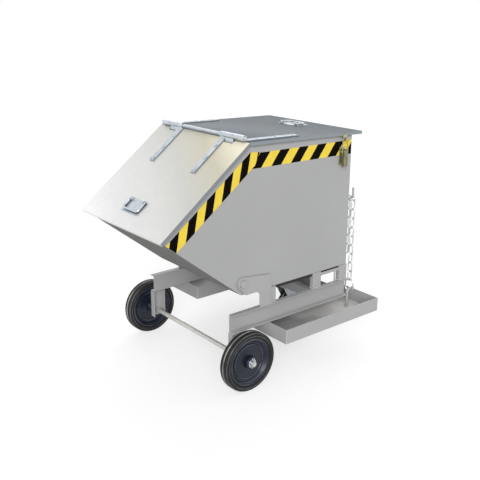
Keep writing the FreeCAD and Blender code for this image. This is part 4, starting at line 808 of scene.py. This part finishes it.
soft_edged("front_lid", front_sheet, "galvanised_sheet", edge=0.0009)
soft_edged("rear_lid", rear_sheet, "galvanised_sheet", edge=0.0009)

# Hinge straps: dished steel bars, two on each lid, rolled into eyes on the hinge rod. They are zinc
# plated and bolted along the lid with small round heads.
for node in ("front_lid_straps", "rear_lid_straps"):
    soft_edged(node, zinc_plate, "zinc_steel", edge=0.0008)
bolt_zinc = plated("bolt_zinc", ZINC_BLUE, ZINC_WARM, ZINC_SHADE_GRIME, corner_shading=0.15)
for node in ("front_strap_bolts", "rear_strap_bolts"):
    soft_edged(node, bolt_zinc, "zinc_steel", edge=0.0006)

# Lid handles: a round bar bent to a bail, whose ends turn in the lugs of a pressed plate. The plate
# is held on the lid by four domed rivets. Bail, plate and rivets are zinc plated.
for node in ("front_handle_plate", "rear_handle_plate"):
    soft_edged(node, zinc_plate, "zinc_steel", edge=0.0006)

DOME_STEPS = ((0.35, 0.94), (0.3, 0.80), (0.22, 0.62), (0.13, 0.30))


def rivet_head(radius, height):
    """A domed rivet head that stands on the ground plane at the origin, raised and drawn in by steps."""
    head = drawn_circle(radius, 16, fill_type="NGON")
    for rise, shrink in DOME_STEPS:
        draw_out((0, 0, rise * height))
        bpy.ops.transform.resize(value=(shrink, shrink, 1))
    close_up(smooth_angle=50)
    return head


BAIL_RADIUS, BAIL_BENDS = 0.004, (0.0043, 0.012, 0.012, 0.0043)
BAIL_Z, BAIL_DROP, BAIL_HALF, BAIL_END = -0.005, 0.049, 0.052, 0.040
PLATE_Z, RIVET_X, RIVET_NEAR, RIVET_FAR = -0.011, 0.030, 0.009, 0.037
HANDLES = (("front", -1, 0.395, 37.610), ("rear", 1, 0.478, -1.7024))
hinge = middle_of("hinge_rod")
rivet = rivet_head(radius=0.0042, height=0.0019)
for label, way, reach, tilt in HANDLES:
    near, far = way * reach, way * (reach + BAIL_DROP)
    plan = ((-BAIL_END, near), (-BAIL_HALF, near), (-BAIL_HALF, far), (BAIL_HALF, far), (BAIL_HALF, near),
            (BAIL_END, near))
    slope = Matrix.Rotation(math.radians(tilt), 3, "X")
    bail = bent_rod([hinge + slope @ Vector((x, y, BAIL_Z)) for x, y in plan], BAIL_BENDS, BAIL_RADIUS)
    fit_out(bail, f"{label}_handle_bail", f"{label}_handle_body", zinc_plate, "zinc_steel", f"{label}_handle")
    heads = []
    for x in (-RIVET_X, RIVET_X):
        for out in (RIVET_NEAR, RIVET_FAR):
            head = copied(rivet.data, "rivet")
            head.rotation_euler = slope.to_euler()
            head.location = hinge + slope @ Vector((x, way * (reach + out), PLATE_Z))
            heads.append(head)
    fit_out(joined(heads), f"{label}_handle_rivets", f"{label}_lid_body", zinc_plate, "zinc_steel")
bpy.data.objects.remove(rivet)

# Toggle latch: a pressed lever on a pin between two ears, and a wire loop that pulls down on a bent
# keeper under the rear lid. All of it is steel, pressed or bent and yellow chromated.
CHROMATE_GOLD = (0.52, 0.43, 0.20, 1)
CHROMATE_GREEN = (0.46, 0.49, 0.30, 1)
CHROMATE_SHADE_GRIME = (0.06, 0.05, 0.03, 1)
chromate = plated("yellow_chromate", CHROMATE_GOLD, CHROMATE_GREEN, CHROMATE_SHADE_GRIME, reach=0.004,
                  cloud_scale=70.0)
LEVER_BROWN = (0.21, 0.18, 0.11, 1)
LEVER_OLIVE = (0.28, 0.27, 0.165, 1)
worn_chromate = plated("worn_chromate", LEVER_BROWN, LEVER_OLIVE, CHROMATE_SHADE_GRIME, reach=0.004,
                       cloud_scale=60.0)
for node in ("latch_base", "latch_pin", "latch_keeper"):
    soft_edged(node, chromate, "yellow_chromate", edge=0.0005)
soft_edged("latch_lever", worn_chromate, "yellow_chromate", edge=0.0008, segments=3)
LOOP_WIRE, LOOP_BEND = 0.002, 0.005
low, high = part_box("latch_loop")
loop_middle = middle_of("latch_loop")
front, rear, bottom, top = low.y + LOOP_WIRE, high.y - LOOP_WIRE, low.z + LOOP_WIRE, high.z - LOOP_WIRE
loop_start = (loop_middle.y, bottom)
loop_plan = (loop_start, (rear, bottom), (rear, top), (front, top), (front, bottom), loop_start)
loop = bent_rod([(loop_middle.x, y, z) for y, z in loop_plan], (LOOP_BEND,) * 4, LOOP_WIRE, closed=True,
                sides=12, steps=8)
fit_out(loop, "latch_loop_wire", "loop_body", chromate, "yellow_chromate", "latch_loop")

# Chain, hook and lug: a zinc-plated chain of welded links. One link lies over the tub's hook, a long
# strand drops to the ring on the tray's lug, and a short tail hangs beside it. Hook and lug are round
# bars, bent, welded on and painted.


def chain_link(inner_length, inner_width, wire, sides=14, steps=14):
    """One welded link that hangs from the origin: a wire ring spun round each end of a slot."""
    bend = (inner_width + wire) / 2
    upper = Vector((0, 0, -bend))
    lower = upper - Vector((0, 0, inner_length - inner_width))
    piece = drawn_circle(wire / 2, sides, upper + Vector((bend, 0, 0)))
    bpy.ops.mesh.spin(steps=steps, angle=math.pi, center=upper, axis=(0, 1, 0))
    draw_out(lower - upper)
    bpy.ops.mesh.spin(steps=steps, angle=math.pi, center=lower, axis=(0, 1, 0))
    draw_out(upper - lower)
    close_up()
    return piece


def hung(link, spot, about_z=0, about_y=0):
    """A copy of a link, turned about its top and hung at a point."""
    copy = copied(link.data, "link")
    turn = Matrix.Rotation(math.radians(about_z), 3, "Z") @ Matrix.Rotation(math.radians(about_y), 3, "Y")
    copy.rotation_euler = turn.to_euler()
    copy.location = spot
    return copy


CHAIN_COOL = (0.70, 0.73, 0.76, 1)
CHAIN_WARM = (0.78, 0.79, 0.78, 1)
chain_zinc = plated("chain_zinc", CHAIN_COOL, CHAIN_WARM, ZINC_SHADE_GRIME, reach=0.004, cloud_scale=60.0,
                    metallic=0.6, corner_shading=0.5)
CHAIN_PITCH, STRAND_TOP, RING_TOP = 0.0412, 0.6671, 0.2973
STRAND_LINKS, TAIL_LINKS, TAIL_X, HOOK_LINK_X = 9, 6, 0.265, 0.255
ring_middle = middle_of("chain_ring")
link = chain_link(inner_length=0.042, inner_width=0.014, wire=0.006)
strands = []
for x, count in ((ring_middle.x, STRAND_LINKS), (TAIL_X, TAIL_LINKS)):
    for index in range(count):
        top = (x, ring_middle.y, STRAND_TOP - index * CHAIN_PITCH)
        strands.append(hung(link, top, about_z=90 if index % 2 == 0 else 0))
fit_out(joined(strands), "safety_chain_links", "chain_body", chain_zinc, "zinc_steel", "safety_chain")
hook_link = hung(link, (HOOK_LINK_X, ring_middle.y, middle_of("chain_hook_link").z), about_y=-90)
fit_out(hook_link, "chain_hook_link_round", "skip", chain_zinc, "zinc_steel", "chain_hook_link")
ring = chain_link(inner_length=0.056, inner_width=0.038, wire=0.008)
end_ring = hung(ring, (ring_middle.x, ring_middle.y, RING_TOP))
fit_out(end_ring, "chain_ring_round", "chain_body", chain_zinc, "zinc_steel", "chain_ring")
bpy.data.objects.remove(link)
bpy.data.objects.remove(ring)

HOOK_RADIUS, HOOK_BEND = 0.005, 0.010
low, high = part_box("chain_hook")
x, out, bottom = middle_of("chain_hook").x, high.y - HOOK_RADIUS, low.z + HOOK_RADIUS
hook_foot = Vector((x, low.y, bottom))
hook = bent_rod((hook_foot, (x, out, bottom), (x, out, high.z)), (HOOK_BEND,), HOOK_RADIUS)
fit_out(hook, "chain_hook_bar", "skip", grey_paint, "grey_paint", "chain_hook")
LUG_RADIUS, LUG_BEND = 0.007, 0.012
low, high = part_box("chain_lug")
x, near, top = middle_of("chain_lug").x, low.y + LUG_RADIUS, high.z - LUG_RADIUS
lug_foot = Vector((x, near, low.z))
lug = bent_rod((lug_foot, (x, near, top), (x, high.y, top)), (LUG_BEND,), LUG_RADIUS, sides=24)
fit_out(lug, "chain_lug_bar", "chassis", grey_paint, "grey_paint", "chain_lug")


def foot_weld(spot, facing, ring, radius):
    """A weld run once round the foot of a bar."""
    bead = drawn_circle(radius, 10, (ring, 0, 0), (math.pi / 2, 0, 0))
    bpy.ops.mesh.spin(steps=32, angle=2 * math.pi, center=(0, 0, 0), axis=(0, 0, 1))
    close_up()
    bead.rotation_euler = turn_to(facing)
    bead.location = spot
    return bead


hook_weld = foot_weld(hook_foot, facing=(0, 1, 0), ring=0.0052, radius=0.002)
fit_out(hook_weld, "chain_hook_weld", "skip", weld_highlight_paint, "grey_paint")
lug_weld = foot_weld(lug_foot, facing=(0, 0, 1), ring=0.0072, radius=0.0022)
fit_out(lug_weld, "chain_lug_weld", "chassis", weld_highlight_paint, "grey_paint")

# Studio: a plain pale floor under a white sky, one broad soft lamp from the photographer's side
# and a weak one from behind, with the camera where the photograph was taken from.
FLOOR_GREY = (0.50, 0.50, 0.50, 1)
FLOOR_GLOW, SKY_LIGHT = 0.60, 0.55
WHITE = (1, 1, 1, 1)


def seen_rays(tree):
    """One for rays that show the background, zero for light that is only scattered."""
    rays = lay(tree, "ShaderNodeLightPath").outputs
    mirrored = maths(tree, "MAXIMUM", rays["Is Camera Ray"], rays["Is Glossy Ray"])
    return maths(tree, "MAXIMUM", mirrored, rays["Is Transmission Ray"])


clear_selection()
bpy.ops.mesh.primitive_plane_add(size=60, location=(0, 0, 0))
floor = bpy.context.object
floor.name = "studio_floor"
floor_finish, tree, shader = new_finish("studio_floor")
shader.inputs["Base Color"].default_value = FLOOR_GREY
shader.inputs["Roughness"].default_value = 0.9
shader.inputs["Specular IOR Level"].default_value = 0.0
pale = lay(tree, "ShaderNodeBsdfDiffuse", {"Color": FLOOR_GREY})
glow = lay(tree, "ShaderNodeEmission", {"Color": WHITE, "Strength": FLOOR_GLOW})
lit = lay(tree, "ShaderNodeAddShader", {0: pale.outputs[0], 1: glow.outputs[0]})
either = lay(tree, "ShaderNodeMixShader", {0: seen_rays(tree), 1: shader.outputs[0], 2: lit.outputs[0]})
tree.links.new(either.outputs[0], tree.nodes["Material Output"].inputs["Surface"])
floor.data.materials.append(floor_finish)

world = bpy.data.worlds.new("studio_sky")
bpy.context.scene.world = world
world.use_nodes = True
tree = world.node_tree
sky = tree.nodes["Background"]
sky.inputs["Color"].default_value = WHITE
tree.links.new(spread(tree, seen_rays(tree), (0.0, 1.0), (SKY_LIGHT, 1.0)), sky.inputs["Strength"])

LAMPS = (("key_sun", 2.3, 35, (0.75, -0.62, 0.39)), ("back_sun", 0.65, 60, (-0.75, 0.60, 0.60)))
for name, strength, softness, way in LAMPS:
    lamp = bpy.data.lights.new(name, "SUN")
    lamp.energy = strength
    lamp.angle = math.radians(softness)
    sun = bpy.data.objects.new(name, lamp)
    sun.rotation_euler = Vector(way).to_track_quat("Z", "Y").to_euler()
    bpy.context.scene.collection.objects.link(sun)

CAMERA_SPOT, CAMERA_AIM = Vector((2.360, -1.835, 1.468)), Vector((-0.017, 0.0832, 0.4814))
lens = bpy.data.cameras.new("photo_camera")
lens.lens = 54.08
lens.sensor_width = 36
camera = bpy.data.objects.new("photo_camera", lens)
camera.location = CAMERA_SPOT
camera.rotation_euler = (CAMERA_AIM - CAMERA_SPOT).to_track_quat("-Z", "Y").to_euler()
bpy.context.scene.collection.objects.link(camera)
bpy.context.scene.camera = camera
bpy.context.scene.view_settings.view_transform = "Standard"
